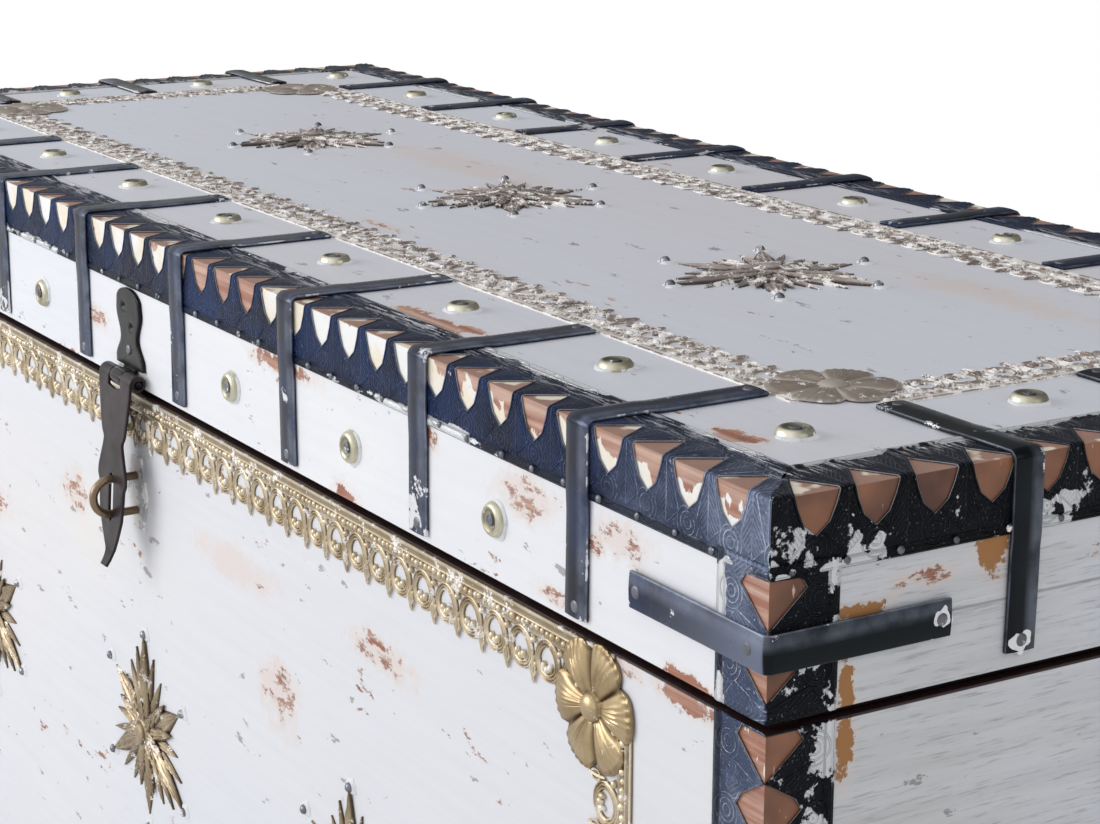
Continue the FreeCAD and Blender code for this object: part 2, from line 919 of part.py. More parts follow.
def staple_plate():
    """A lozenge-ended plate under the staple."""
    half_width = staple_plate_width / 2
    half_height = staple_plate_height / 2
    outline = [
        (-half_width, 0),
        (-half_width / 2, -half_height),
        (half_width / 2, -half_height),
        (half_width, 0),
        (half_width / 2, half_height),
        (-half_width / 2, half_height),
    ]
    points = [Vector(x, -body_y, z) for x, z in outline]
    plate = prism(points, Vector(0, -staple_plate_thickness, 0))
    return [moved(plate, 0, 0, staple_height())]


# Lid hinges
def hinge_leaf(side):
    """One leaf against the back, up for the lid (side 1) or down for the body (side -1)."""
    half = hinge_width / 2
    radius = hinge_knuckle_radius
    face = lid_y - hinge_axis.y if side > 0 else body_y - hinge_axis.y
    near = side * (radius + hinge_swing_gap)
    far = side * (radius + hinge_swing_gap + hinge_leaf_height)
    plate = block(-half, half, face, face + hinge_leaf_thickness, min(near, far), max(near, far))
    own_start, own_end = (hinge_play, half) if side > 0 else (-half, -hinge_play)
    tongue = block(own_start, own_end, face, face + hinge_leaf_thickness, min(0, near), max(0, near))
    knuckle = rolled(radius, own_start, own_end)
    bore = Part.makeCylinder(hinge_pin_radius + pin_clearance, hinge_width, Vector(-half, 0, 0), along_x)
    return joined(plate, [tongue, knuckle]).cut(bore)


def at_hinges(solid):
    return [
        moved(solid, x, hinge_axis.y, hinge_axis.z)
        for x in spaced(hinge_count, hinge_pitch)
    ]


def hinge_pins():
    pin = Part.makeCylinder(hinge_pin_radius, hinge_width, Vector(-hinge_width / 2, 0, 0), along_x)
    return at_hinges(pin)


# End handles
def handle_eye():
    """A plate on the right end with a bored lug for the bail, drawn about the bail's axis."""
    back = -handle_stand - handle_plate_thickness
    half_width = handle_plate_width / 2
    half_height = handle_plate_height / 2
    shoulder = half_height - handle_plate_point
    outline = [
        (-half_width, -shoulder),
        (0, -half_height),
        (half_width, -shoulder),
        (half_width, shoulder),
        (0, half_height),
        (-half_width, shoulder),
    ]
    plate = prism([Vector(back, y, z) for y, z in outline], Vector(handle_plate_thickness, 0, 0))
    radius = handle_eye_radius
    half_eye = handle_eye_width / 2
    nose = [(-handle_stand, -radius)]
    for index in range(handle_eye_flats + 1):
        turn = math.radians(half_turn * index / handle_eye_flats)
        nose.append((radius * math.sin(turn), -radius * math.cos(turn)))
    nose.append((-handle_stand, radius))
    lug = prism([Vector(x, -half_eye, z) for x, z in nose], Vector(0, handle_eye_width, 0))
    outside = Vector(0, -handle_eye_width, 0)
    bore = Part.makeCylinder(bail_pin_radius + pin_clearance, 2 * handle_eye_width, outside, along_y)
    return joined(plate, [lug]).cut(bore)


def right_handle_plates():
    eye = handle_eye()
    return [moved(eye, handle_axis_x, y, handle_axis_z) for y in (-handle_half_span, handle_half_span)]


def eased_route(points, radii):
    """The route with each inner corner taken in short straight steps of a tangent arc."""
    route = [points[0]]
    for index, radius in enumerate(radii, 1):
        corner = points[index]
        before = (points[index - 1] - corner).normalize()
        after = (points[index + 1] - corner).normalize()
        half_angle = before.getAngle(after) / 2
        bisector = (before + after).normalize()
        centre = corner + bisector * (radius / math.sin(half_angle))
        spread = math.pi / 2 - half_angle
        sense = 1 if before.cross(after).x > 0 else -1
        for step in range(bail_bend_steps + 1):
            turn = sense * spread * (1 - 2 * step / bail_bend_steps)
            out = turned(Part.Vertex(-bisector * radius), math.degrees(turn), along_x).Point
            route.append(centre + out)
    return route + [points[-1]]


def right_bail():
    """A drop handle forged from one bar, its ends turned in through the eyes."""
    inner = handle_half_span + handle_eye_width / 2 + bail_side_gap
    low = -bail_drop
    route = [
        (-inner, 0),
        (-bail_shoulder, 0),
        (-bail_grip_half, low),
        (bail_grip_half, low),
        (bail_shoulder, 0),
        (inner, 0),
    ]
    points = [Vector(0, y, z) for y, z in route]
    path = eased_route(points, [bail_top_bend, bail_grip_bend, bail_grip_bend, bail_top_bend])
    bar = bar_along(path, bail_bar_radius, bail_bar_sides)
    pin_length = handle_eye_width + 2 * bail_side_gap
    pin = Part.makeCylinder(bail_pin_radius, pin_length, Vector(0, inner - pin_length, 0), along_y)
    bail = joined(bar, [pin, mirror_y(pin)])
    return [moved(bail, handle_axis_x, 0, handle_axis_z)]


# Nodes
lid_hinge_leaf = hinge_leaf(1)
body_hinge_leaf = hinge_leaf(-1)
nodes = {
    "front_wall": front_wall(),
    "back_wall": [mirror_y(plank) for plank in front_wall()],
    "right_wall": right_wall(),
    "left_wall": [mirror_x(plank) for plank in right_wall()],
    "floor_boards": floor_boards(),
    "floor_cleats": floor_cleats(),
    "feet": feet(),
    "rim_mouldings": rim_mouldings(),
    "lid_lips": lid_lips(),
    "body_corner_sheets": body_corner_sheets(),
    "body_corner_brackets": body_corner_brackets(),
    "front_border": front_border(),
    "front_rosettes": front_rosettes(),
    "front_stars": front_stars(),
    "staple": staple(),
    "staple_plate": staple_plate(),
    "body_hinge_leaves": at_hinges(body_hinge_leaf),
    "hinge_pins": hinge_pins(),
    "right_handle_plates": right_handle_plates(),
    "left_handle_plates": [mirror_x(plate) for plate in right_handle_plates()],
    "right_bail": right_bail(),
    "left_bail": [mirror_x(bail) for bail in right_bail()],
    "lid_top_boards": lid_top_boards(),
    "lid_front_skirt": lid_front_skirt(),
    "lid_back_skirt": [mirror_y(board_piece) for board_piece in lid_front_skirt()],
    "lid_right_skirt": lid_right_skirt(),
    "lid_left_skirt": [mirror_x(board_piece) for board_piece in lid_right_skirt()],
    "lid_battens": lid_battens(),
    "lid_front_strip": lid_front_strip(),
    "lid_back_strip": [mirror_y(strip) for strip in lid_front_strip()],
    "lid_right_strip": lid_right_strip(),
    "lid_left_strip": [mirror_x(strip) for strip in lid_right_strip()],
    "lid_corner_sheets": lid_corner_sheets(),
    "lid_front_straps": lid_front_straps(),
    "lid_back_straps": [mirror_y(iron) for iron in lid_front_straps()],
    "lid_right_straps": lid_right_straps(),
    "lid_left_straps": [mirror_x(iron) for iron in lid_right_straps()],
    "strap_nails": strap_nails(),
    "lid_corner_brackets": lid_corner_brackets(),
    "lid_bracket_nails": lid_bracket_nails(),
    "lid_top_studs": lid_top_studs(),
    "lid_front_studs": lid_front_studs(),
    "lid_border": lid_border(),
    "lid_rosettes": lid_rosettes(),
    "lid_stars": lid_stars(),
    "lid_hinge_leaves": at_hinges(lid_hinge_leaf),
    "hasp_plate": hasp_plate(),
    "hasp_pin": hasp_pin(),
    "hasp_leaf": hasp_leaf(),
}

os.makedirs("parts", exist_ok=True)
for name, solids in nodes.items():
    node = solids[0] if len(solids) == 1 else Part.makeCompound(solids)
    moved(node, 0, case_y).exportStep(f"parts/{name}.step")
print(f"{len(nodes)} nodes, case moved back by {case_y:.2f}")
print(f"lid hinge at y {hinge_axis.y + case_y:.2f}, z {hinge_axis.z:.2f}")
print(f"hasp pin at y {hasp_axis.y + case_y:.2f}, z {hasp_axis.z:.2f}, staple at z {staple_height():.2f}")
print(f"bail pins at x {handle_axis_x:.2f}, y {case_y:.2f}, z {handle_axis_z:.2f}")
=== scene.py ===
import math

import bmesh
import bpy
import numpy as np
from mathutils import Matrix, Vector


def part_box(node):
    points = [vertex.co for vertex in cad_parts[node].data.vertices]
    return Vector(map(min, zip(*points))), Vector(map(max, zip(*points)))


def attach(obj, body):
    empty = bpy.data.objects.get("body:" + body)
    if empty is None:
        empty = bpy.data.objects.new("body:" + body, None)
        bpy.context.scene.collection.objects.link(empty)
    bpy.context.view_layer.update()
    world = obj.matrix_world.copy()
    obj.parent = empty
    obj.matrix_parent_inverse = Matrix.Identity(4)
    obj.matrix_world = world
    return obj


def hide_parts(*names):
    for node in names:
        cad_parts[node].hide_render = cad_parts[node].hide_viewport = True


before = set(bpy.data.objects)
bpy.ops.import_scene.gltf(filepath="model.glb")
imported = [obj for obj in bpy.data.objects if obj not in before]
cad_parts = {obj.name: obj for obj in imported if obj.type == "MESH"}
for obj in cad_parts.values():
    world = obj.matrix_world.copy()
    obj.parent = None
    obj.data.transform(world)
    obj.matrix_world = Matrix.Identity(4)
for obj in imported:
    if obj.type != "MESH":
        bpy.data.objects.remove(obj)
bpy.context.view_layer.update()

mm = 0.001
random = np.random.default_rng(11)

# Where the boards lie, in millimetres
lidLow, lidHigh = [(np.array(corner) / mm).tolist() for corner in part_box("lid_top_boards")]
bodyLow, bodyHigh = [(np.array(corner) / mm).tolist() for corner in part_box("front_wall")]
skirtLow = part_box("lid_front_skirt")[0].z / mm
caseY = (lidLow[1] + lidHigh[1]) / 2
lidX = lidHigh[0]
lidY = (lidHigh[1] - lidLow[1]) / 2
lidTop = lidHigh[2]
lidDepth = lidTop - skirtLow
bodyX = bodyHigh[0]
bodyY = caseY - bodyLow[1]
bodyTop = bodyHigh[2]
bodyFoot = bodyLow[2]


# A flat face of the chest: a starting place, then the directions across, up and out of it
def plane(start, across, up):
    across = np.array(across, float)
    up = np.array(up, float)
    return {"start": np.array(start, float), "axes": np.array([across, up, np.cross(across, up)])}


def sides(x, y, z):
    return {
        "front": plane((0, caseY - y, z), (1, 0, 0), (0, 0, 1)),
        "right": plane((x, caseY, z), (0, 1, 0), (0, 0, 1)),
        "back": plane((0, caseY + y, z), (-1, 0, 0), (0, 0, 1)),
        "left": plane((-x, caseY, z), (0, -1, 0), (0, 0, 1)),
    }


lidFaces = sides(lidX, lidY, lidTop)
lidFaces["top"] = plane((0, caseY, lidTop), (1, 0, 0), (0, 1, 0))
bodyFaces = sides(bodyX, bodyY, 0)


# A place on a face, turned about the way out: its start and its own three directions
def placeOn(face, across, up, turn=0.0, out=0.0, size=1.0):
    cosine, sine = math.cos(turn), math.sin(turn)
    spin = np.array([[cosine, sine, 0], [-sine, cosine, 0], [0, 0, 1]]) * size
    start = face["start"] + np.array([across, up, out]) @ face["axes"]
    return start, spin @ face["axes"]


def evenRow(count, pitch):
    return (np.arange(count) - (count - 1) / 2) * pitch


# Quads between neighbouring rows and columns of a grid of points
def gridQuads(rows, columns, wrapColumns=False, wrapRows=False):
    row = np.arange(rows if wrapRows else rows - 1)[:, None]
    column = np.arange(columns if wrapColumns else columns - 1)
    nextRow = (row + 1) % rows
    nextColumn = (column + 1) % columns
    corners = [row * columns + column, row * columns + nextColumn,
               nextRow * columns + nextColumn, nextRow * columns + column]
    return np.stack(corners, axis=-1).reshape(-1, 4)


# Rings of points joined into a closed skin, both ends shut by a fan to the ring's middle
def skin(rings):
    rows, columns = rings.shape[:2]
    points = np.vstack([rings.reshape(-1, 3), rings[0].mean(0), rings[-1].mean(0)])
    first = np.arange(columns)
    after = (first + 1) % columns
    last = (rows - 1) * columns
    startFan = np.stack([np.full(columns, rows * columns), after, first], axis=-1)
    endFan = np.stack([np.full(columns, rows * columns + 1), first + last, after + last], axis=-1)
    return points, [gridQuads(rows, columns, wrapColumns=True), startFan, endFan]


# A turned shape: radius and height pairs carried round the local Z axis, from the foot upwards
def lathe(profile, count):
    profile = np.array(profile, float)
    angle = np.arange(count) * 2 * math.pi / count
    ring = np.stack([np.cos(angle), np.sin(angle)], axis=-1)
    flat = profile[:, None, :1] * ring[None]
    height = np.broadcast_to(profile[:, None, 1:], (len(profile), count, 1))
    return skin(np.concatenate([flat, height], axis=-1))


# A closed outline in width and thickness with rounded corners and a slightly crowned upper side
def strapOutline(width, thick, radius, crown=0.0):
    half = width / 2 - radius
    turn = np.linspace(0, math.pi / 2, 3)
    corners = [(-half, radius, math.pi), (half, radius, 1.5 * math.pi),
               (half, thick - radius, 0), (-half, thick - radius, math.pi / 2)]
    outline = [np.stack([x + radius * np.cos(turn + start), z + radius * np.sin(turn + start)], axis=-1)
               for x, z, start in corners]
    top = np.linspace(half, -half, 5)[1:-1]
    outline.insert(3, np.stack([top, np.full(3, thick) + crown * (1 - (top / half) ** 2)], axis=-1))
    return np.vstack(outline)


# Where a bar's upper edges get a painted highlight and white paint flakes, once for each row: 1 on its one
# edge, 0.5 on the other, 0.4 and 0 beside them
def edgeSheenAndWearMarks(outline, width, thick, rows):
    side, top = outline[:, 0] / (width / 2), outline[:, 1] > 0.6 * thick
    corner = np.abs(side) > 1 - 0.9 / width
    sheenAndWear = np.where(side > 0, np.where(corner, 1.0, 0.4), np.where(corner, 0.5, 0.0)) * top
    return np.append(np.tile(sheenAndWear, rows), [0.0, 0.0])


def roundOutline(radius, count):
    angle = (np.arange(count) + 0.5) * 2 * math.pi / count
    return radius * np.stack([np.cos(angle), np.sin(angle)], axis=-1)


def unit(vectors):
    return vectors / np.linalg.norm(vectors, axis=-1, keepdims=True)


# A bar: the outline set square to a route, its width along one steady direction, sized row by row
def bar(route, width, outline, size=None, closed=False):
    route = np.array(route, float)
    if closed:
        along = unit(np.roll(route, -1, axis=0) - np.roll(route, 1, axis=0))
    else:
        along = unit(np.gradient(route, axis=0))
    across = np.broadcast_to(np.array(width, float), route.shape)
    across = unit(across - along * (across * along).sum(-1, keepdims=True))
    out = np.cross(along, across)
    size = np.ones(len(route)) if size is None else np.array(size, float)
    drawn = size[:, None, None] * outline
    rings = route[:, None] + drawn[..., :1] * across[:, None] + drawn[..., 1:] * out[:, None]
    if closed:
        rows, columns = rings.shape[:2]
        return rings.reshape(-1, 3), [gridQuads(rows, columns, wrapColumns=True, wrapRows=True)]
    return skin(rings)


# Copies of one shape at many places
def copies(shape, places):
    points, faces = shape[:2]
    starts = np.array([place[0] for place in places])
    axes = np.array([place[1] for place in places])
    moved = np.einsum("nj,kjc->knc", points, axes) + starts[:, None]
    shift = (np.arange(len(places)) * len(points))[:, None, None]
    carried = shape[2] if len(shape) > 2 else {}
    marks = {name: np.tile(values, len(places)) for name, values in carried.items()}
    return moved.reshape(-1, 3), [(face[None] + shift).reshape(-1, face.shape[1]) for face in faces], marks


# Several shapes as one, with any values that their points carry
def gather(shapes):
    faces, start = [], 0
    carried = [shape[2] if len(shape) > 2 else {} for shape in shapes]
    for shape in shapes:
        faces += [face + start for face in shape[1]]
        start += len(shape[0])
    marks = {}
    for name in sorted({name for own in carried for name in own}):
        values = [own.get(name, np.zeros(len(shape[0]))) for own, shape in zip(carried, shapes)]
        marks[name] = np.concatenate(values)
    return np.vstack([shape[0] for shape in shapes]), faces, marks


# A shape marked 1 at a low height and 0 at a high one, so that its finish can tint the hollows: with painted
# shade in most brass and with white paint on the lid's border and rosettes
def hollowed(shape, low, high):
    points, faces = shape[:2]
    return points, faces, {"hollow": np.clip((high - points[:, 2]) / (high - low), 0, 1)}


# A mesh object at the origin from shapes in millimetres
def makePiece(name, shapes, body, finish, replaced=(), sharp=40, merge=0.0, thick=0.0, offset=-1.0):
    points, faces, marks = gather(shapes)
    mesh = bpy.data.meshes.new(name)
    corners = np.concatenate([face.ravel() for face in faces])
    counts = np.concatenate([np.full(len(face), face.shape[1]) for face in faces])
    mesh.vertices.add(len(points))
    mesh.vertices.foreach_set("co", (points * mm).ravel())
    mesh.loops.add(len(corners))
    mesh.loops.foreach_set("vertex_index", corners.astype(np.int32))
    mesh.polygons.add(len(counts))
    mesh.polygons.foreach_set("loop_start", np.concatenate([[0], np.cumsum(counts)[:-1]]).astype(np.int32))
    mesh.update(calc_edges=True)
    for mark, values in marks.items():
        mesh.attributes.new(mark, "FLOAT", "POINT").data.foreach_set("value", values.astype(np.float32))
    if merge:
        work = bmesh.new()
        work.from_mesh(mesh)
        bmesh.ops.remove_doubles(work, verts=work.verts, dist=merge * mm)
        bmesh.ops.dissolve_degenerate(work, edges=work.edges, dist=merge * mm / 2)
        work.to_mesh(mesh)
        work.free()
    mesh.polygons.foreach_set("use_smooth", np.ones(len(mesh.polygons), bool))
    mesh.set_sharp_from_angle(angle=math.radians(sharp))
    mesh.validate()
    mesh.materials.append(finish)
    piece = bpy.data.objects.new(name, mesh)
    bpy.context.scene.collection.objects.link(piece)
    if thick:
        wall = piece.modifiers.new("wall", "SOLIDIFY")
        wall.thickness = thick * mm
        wall.offset = offset
        wall.use_even_offset = False
    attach(piece, body)
    if replaced:
        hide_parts(*replaced)
    return piece


# Colours and shader nodes
def tone(red, green, blue):
    values = np.array([red, green, blue]) / 255
    linear = np.where(values <= 0.04045, values / 12.92, ((values + 0.055) / 1.055) ** 2.4)
    return (*linear.tolist(), 1.0)


# A node's output that is used like a number: each sign adds one math node
class Value:
    def __init__(self, socket):
        self.socket = socket

    def math(self, operation, *others, clamp=False):
        inputs = dict(enumerate((self, *others)))
        return addNode("ShaderNodeMath", inputs, operation=operation, use_clamp=clamp)

    def fit(self, low, high, toLow=0.0, toHigh=1.0):
        inputs = {"Value": self, "From Min": low, "From Max": high, "To Min": toLow, "To Max": toHigh}
        return addNode("ShaderNodeMapRange", inputs, clamp=True)

    def __add__(self, other):
        return self.math("ADD", other)

    def __sub__(self, other):
        return self.math("SUBTRACT", other)

    def __rsub__(self, other):
        return addNode("ShaderNodeMath", {0: other, 1: self}, operation="SUBTRACT")

    def __mul__(self, other):
        return self.math("MULTIPLY", other)

    def __abs__(self):
        return self.math("ABSOLUTE")


def feed(socket, value):
    if isinstance(value, Value):
        socket.id_data.links.new(value.socket, socket)
    else:
        socket.default_value = value


# A new node, in the tree of its first input that is a Value unless a tree is given
def newNode(kind, inputs, tree=None, **settings):
    tree = tree or next(value.socket.id_data for value in inputs.values() if isinstance(value, Value))
    made = tree.nodes.new(kind)
    for key, value in settings.items():
        setattr(made, key, value)
    for key, value in inputs.items():
        feed(made.inputs[key], value)
    return made


def addNode(kind, inputs, output=0, **settings):
    return Value(newNode(kind, inputs, **settings).outputs[output])


def highest(first, second):
    return addNode("ShaderNodeMath", {0: first, 1: second}, operation="MAXIMUM")


def lowest(first, second):
    return addNode("ShaderNodeMath", {0: first, 1: second}, operation="MINIMUM")


def blend(factor, first, second, kind="MIX"):
    return addNode("ShaderNodeMix", {0: factor, 6: first, 7: second}, 2, data_type="RGBA", blend_type=kind)


def noise(vector, scale, detail=4.0, rough=0.55):
    inputs = {"Vector": vector, "Scale": scale, "Detail": detail, "Roughness": rough}
    return addNode("ShaderNodeTexNoise", inputs)


def vectorMath(operation, *values, output="Vector"):
    return addNode("ShaderNodeVectorMath", dict(enumerate(values)), output, operation=operation)


def scaled(vector, sizes):
    return vectorMath("MULTIPLY", vector, sizes)


def separate(vector):
    return [Value(socket) for socket in newNode("ShaderNodeSeparateXYZ", {0: vector}).outputs]


def attribute(place, name):
    return addNode("ShaderNodeAttribute", {}, "Fac", tree=place.socket.id_data, attribute_name=name)


# A shared effect: build turns the group's inputs into its outputs
def makeGroup(name, inputs, build):
    tree = bpy.data.node_groups.new(name, "ShaderNodeTree")
    for label, value in inputs.items():
        kind = "Float" if isinstance(value, float) else "Vector"
        socket = tree.interface.new_socket(label, in_out="INPUT", socket_type="NodeSocket" + kind)
        if value is not None:
            socket.default_value = value
    start = tree.nodes.new("NodeGroupInput")
    results = build({socket.name: Value(socket) for socket in start.outputs if socket.name})
    for label in results:
        tree.interface.new_socket(label, in_out="OUTPUT", socket_type="NodeSocketFloat")
    end = tree.nodes.new("NodeGroupOutput")
    for label, value in results.items():
        feed(end.inputs[label], value)
    return tree


def useGroup(group, inputs):
    made = newNode("ShaderNodeGroup", inputs, node_tree=group)
    return {socket.name: Value(socket) for socket in made.outputs}


# Ragged flakes: two noises added, kept where they rise over a level that the amount sets
def buildFlakes(pick):
    large = noise(pick["Vector"], pick["Scale"], 3.0)
    fine = noise(pick["Vector"], pick["Scale"] * 7.0, 5.0, 0.7)
    over = large + (fine - 0.5) * pick["Ragged"] - (0.75 - pick["Amount"] * 0.5)
    return {"Mask": over.math("DIVIDE", pick["Soft"], clamp=True)}


# One worn patch: an oval whose rim is pushed in and out by noise, with a paler halo round it
def buildPatch(pick):
    ratio = vectorMath("DIVIDE", vectorMath("SUBTRACT", pick["Vector"], pick["Centre"]), pick["Size"])
    far = vectorMath("LENGTH", ratio, output="Value")
    push = noise(pick["Vector"], 210.0, 6.0, 0.75) * 2.6 + noise(pick["Vector"], 52.0, 2.0) * 2.2
    edge = far + (push - 2.4)
    return {"Mask": edge.fit(0.95, 0.85), "Halo": edge.fit(1.7, 0.8)}


# Wood grain: long fine noise along X, with the rings showing as slow waves
def buildGrain(pick):
    return {"Lines": noise(scaled(pick["Vector"], (6, 160, 160)), 1.0, 6.0, 0.65),
            "Waves": noise(scaled(pick["Vector"], (1.6, 22, 22)), 1.0, 3.0)}


# Beaten metal: small dents and scratches as a height, and broad dull patches
def buildBeaten(pick):
    place, scale = pick["Vector"], pick["Scale"]
    dents = addNode("ShaderNodeTexVoronoi", {"Vector": place, "Scale": scale}, feature="SMOOTH_F1")
    small = noise(place, scale * 4.0, 5.0, 0.6)
    return {"Height": dents * 0.5 + small * 0.35, "Dull": noise(place, scale * 0.2, 4.0, 0.6)}


# Pressed sheet over the lid's edges, in millimetres; toothOpen and toothSlope give a leaf's half-width from
# its tip, toothEnd and toothClose the same from its foot
strip = {
    "leg": 35.0,
    "topLeg": 35.5,
    "bend": 1.0,
    "lift": 0.7,
    "wall": 0.6,
    "pitch": 31.7,
    "firstLong": 27.0,
    "firstShort": 23.0,
    "cutAt": [-18.6, -13.4, -6.0, 0.0, 19.0],
    "cutWidth": [0.0, 13.0, 19.6, 23.2, 0.0],
    "columns": 19,
    "relief": 0.6,
    "overrun": 0.7,
    "toothOpen": 1.8,
    "toothSlope": 0.34,
    "toothEnd": 29.0,
    "toothClose": 1.2,
    "ringsAt": 25.2,
    "ringsReach": 8.4,
    "rimLines": (30.6, 34.4),
}


# The stamp in the sheet, in millimetres from the fold and from the tooth's middle: a pointed leaf with an
# outline, a midrib and slanting veins on each tooth, rings between the teeth, and lines along the rim and
# the cut edges
def buildStamp(pick):
    spread, away = pick["Spread"], abs(pick["Fold"])
    opening = away * strip["toothSlope"] + strip["toothOpen"]
    room = lowest(opening, (strip["toothEnd"] - away) * strip["toothClose"]) - spread
    leafArea = room.fit(0.1, 0.6)
    rib = spread.fit(0.75, 0.25) * leafArea
    veins = (away * 2.0 - spread * 2.7).math("SINE").fit(0.0, 0.9, 0.0, 0.7) * leafArea
    aside = addNode("ShaderNodeCombineXYZ", {0: spread - strip["pitch"] / 2, 1: away - strip["ringsAt"]})
    far = vectorMath("LENGTH", aside, output="Value")
    rings = (far * 2.4).math("COSINE").fit(0.1, 0.9) * far.fit(strip["ringsReach"], strip["ringsReach"] - 0.5)
    total = highest(highest(abs(room).fit(0.7, 0.2), rib), highest(veins, rings * (1.0 - leafArea)))
    for middle in strip["rimLines"]:
        total = highest(total, abs(away - middle).fit(0.8, 0.3))
    return {"Height": highest(total, abs(pick["Edge"] - 1.0).fit(0.7, 0.2))}


flakes = makeGroup("flakes", {"Vector": None, "Scale": 10.0, "Amount": 0.3, "Ragged": 0.35, "Soft": 0.02},
                   buildFlakes)
wornPatch = makeGroup("wornPatch", {"Vector": None, "Centre": (0, 0, 0), "Size": (1, 1, 1)}, buildPatch)
grain = makeGroup("grain", {"Vector": None}, buildGrain)
beaten = makeGroup("beaten", {"Vector": None, "Scale": 200.0}, buildBeaten)
stamp = makeGroup("stamp", {"Fold": 0.0, "Spread": 0.0, "Edge": 9.0}, buildStamp)


def flaked(vector, scale, amount, ragged, soft=0.02):
    inputs = {"Vector": vector, "Scale": scale, "Amount": amount, "Ragged": ragged, "Soft": soft}
    return useGroup(flakes, inputs)["Mask"]


def newMaterial(name, colour):
    material = bpy.data.materials.new(name)
    material.use_nodes = True
    material.diffuse_color = colour
    tree = material.node_tree
    tree.nodes.clear()
    surface = tree.nodes.new("ShaderNodeBsdfPrincipled")
    output = tree.nodes.new("ShaderNodeOutputMaterial")
    tree.links.new(surface.outputs["BSDF"], output.inputs["Surface"])
    return material, Value(tree.nodes.new("ShaderNodeTexCoord").outputs["Object"])


def feedSurface(material, inputs):
    for key, value in inputs.items():
        feed(material.node_tree.nodes["Principled BSDF"].inputs[key], value)


# A finished material: its colour and roughness, a bump from a height, and any further inputs
def dress(material, colour, rough, height, strength, reach, more=()):
    normal = addNode("ShaderNodeBump", {"Height": height, "Strength": strength, "Distance": reach})
    feedSurface(material, {"Base Color": colour, "Roughness": rough, "Normal": normal, **dict(more)})
    return material


def coat(finish, nodes):
    for node in nodes:
        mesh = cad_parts[node].data
        mesh.materials.clear()
        mesh.materials.append(finish)


# Timber: slow waves between two tones, with fine lines of a third
def timber(lines, light, dark, line):
    waves = blend(lines["Waves"].fit(0.3, 0.7), light, dark)
    return blend(lines["Lines"].fit(0.45, 0.7, 0.0, 0.6), waves, line)


# Painted boards; deep, topBand and cornerBand are millimetres from the outside: how deep paint reaches, and
# how wide the boards show their wood under the sheets
paint = {
    # front, low, top, end and back are one white paint; low, top and end are darker copies of it, painted
    # shade on the body's front, the lid's top and the ends
    "front": tone(237, 238, 242),
    "low": tone(226, 226, 230),
    "top": tone(219, 218, 225),
    "end": tone(186, 181, 171),
    "back": tone(226, 225, 222),
    "cloud": tone(216, 221, 232),
    "clay": tone(176, 118, 94),
    "clayDark": tone(134, 86, 70),
    "ochre": tone(160, 112, 66),
    "cream": tone(238, 228, 210),
    "white": tone(240, 240, 240),
    "blush": tone(224, 198, 182),
    "grime": tone(92, 84, 82),
    "maroon": tone(40, 18, 18),
    "brown": (tone(146, 98, 72), tone(88, 56, 44)),
    "faded": (tone(176, 138, 122), tone(146, 112, 100)),
    "timber": (tone(168, 122, 84), tone(112, 76, 50), tone(104, 70, 46)),
    "darkRim": 1.3,
    "deep": 13.0,
    "topBand": 19.5,
    "cornerBand": 23.0,
    "seam": 1.2,
}


# Near 1 within reach of a height, in millimetres, and 0 beyond it
def nearHeight(z, height, reach):
    return abs(z - height * mm).fit(reach * mm, 0.0)


# How far below the boards' ends, long sides and top a place lies
def boardDepths(x, y, z):
    return lidX * mm - abs(x), lidY * mm - abs(y - caseY * mm), lidTop * mm - z


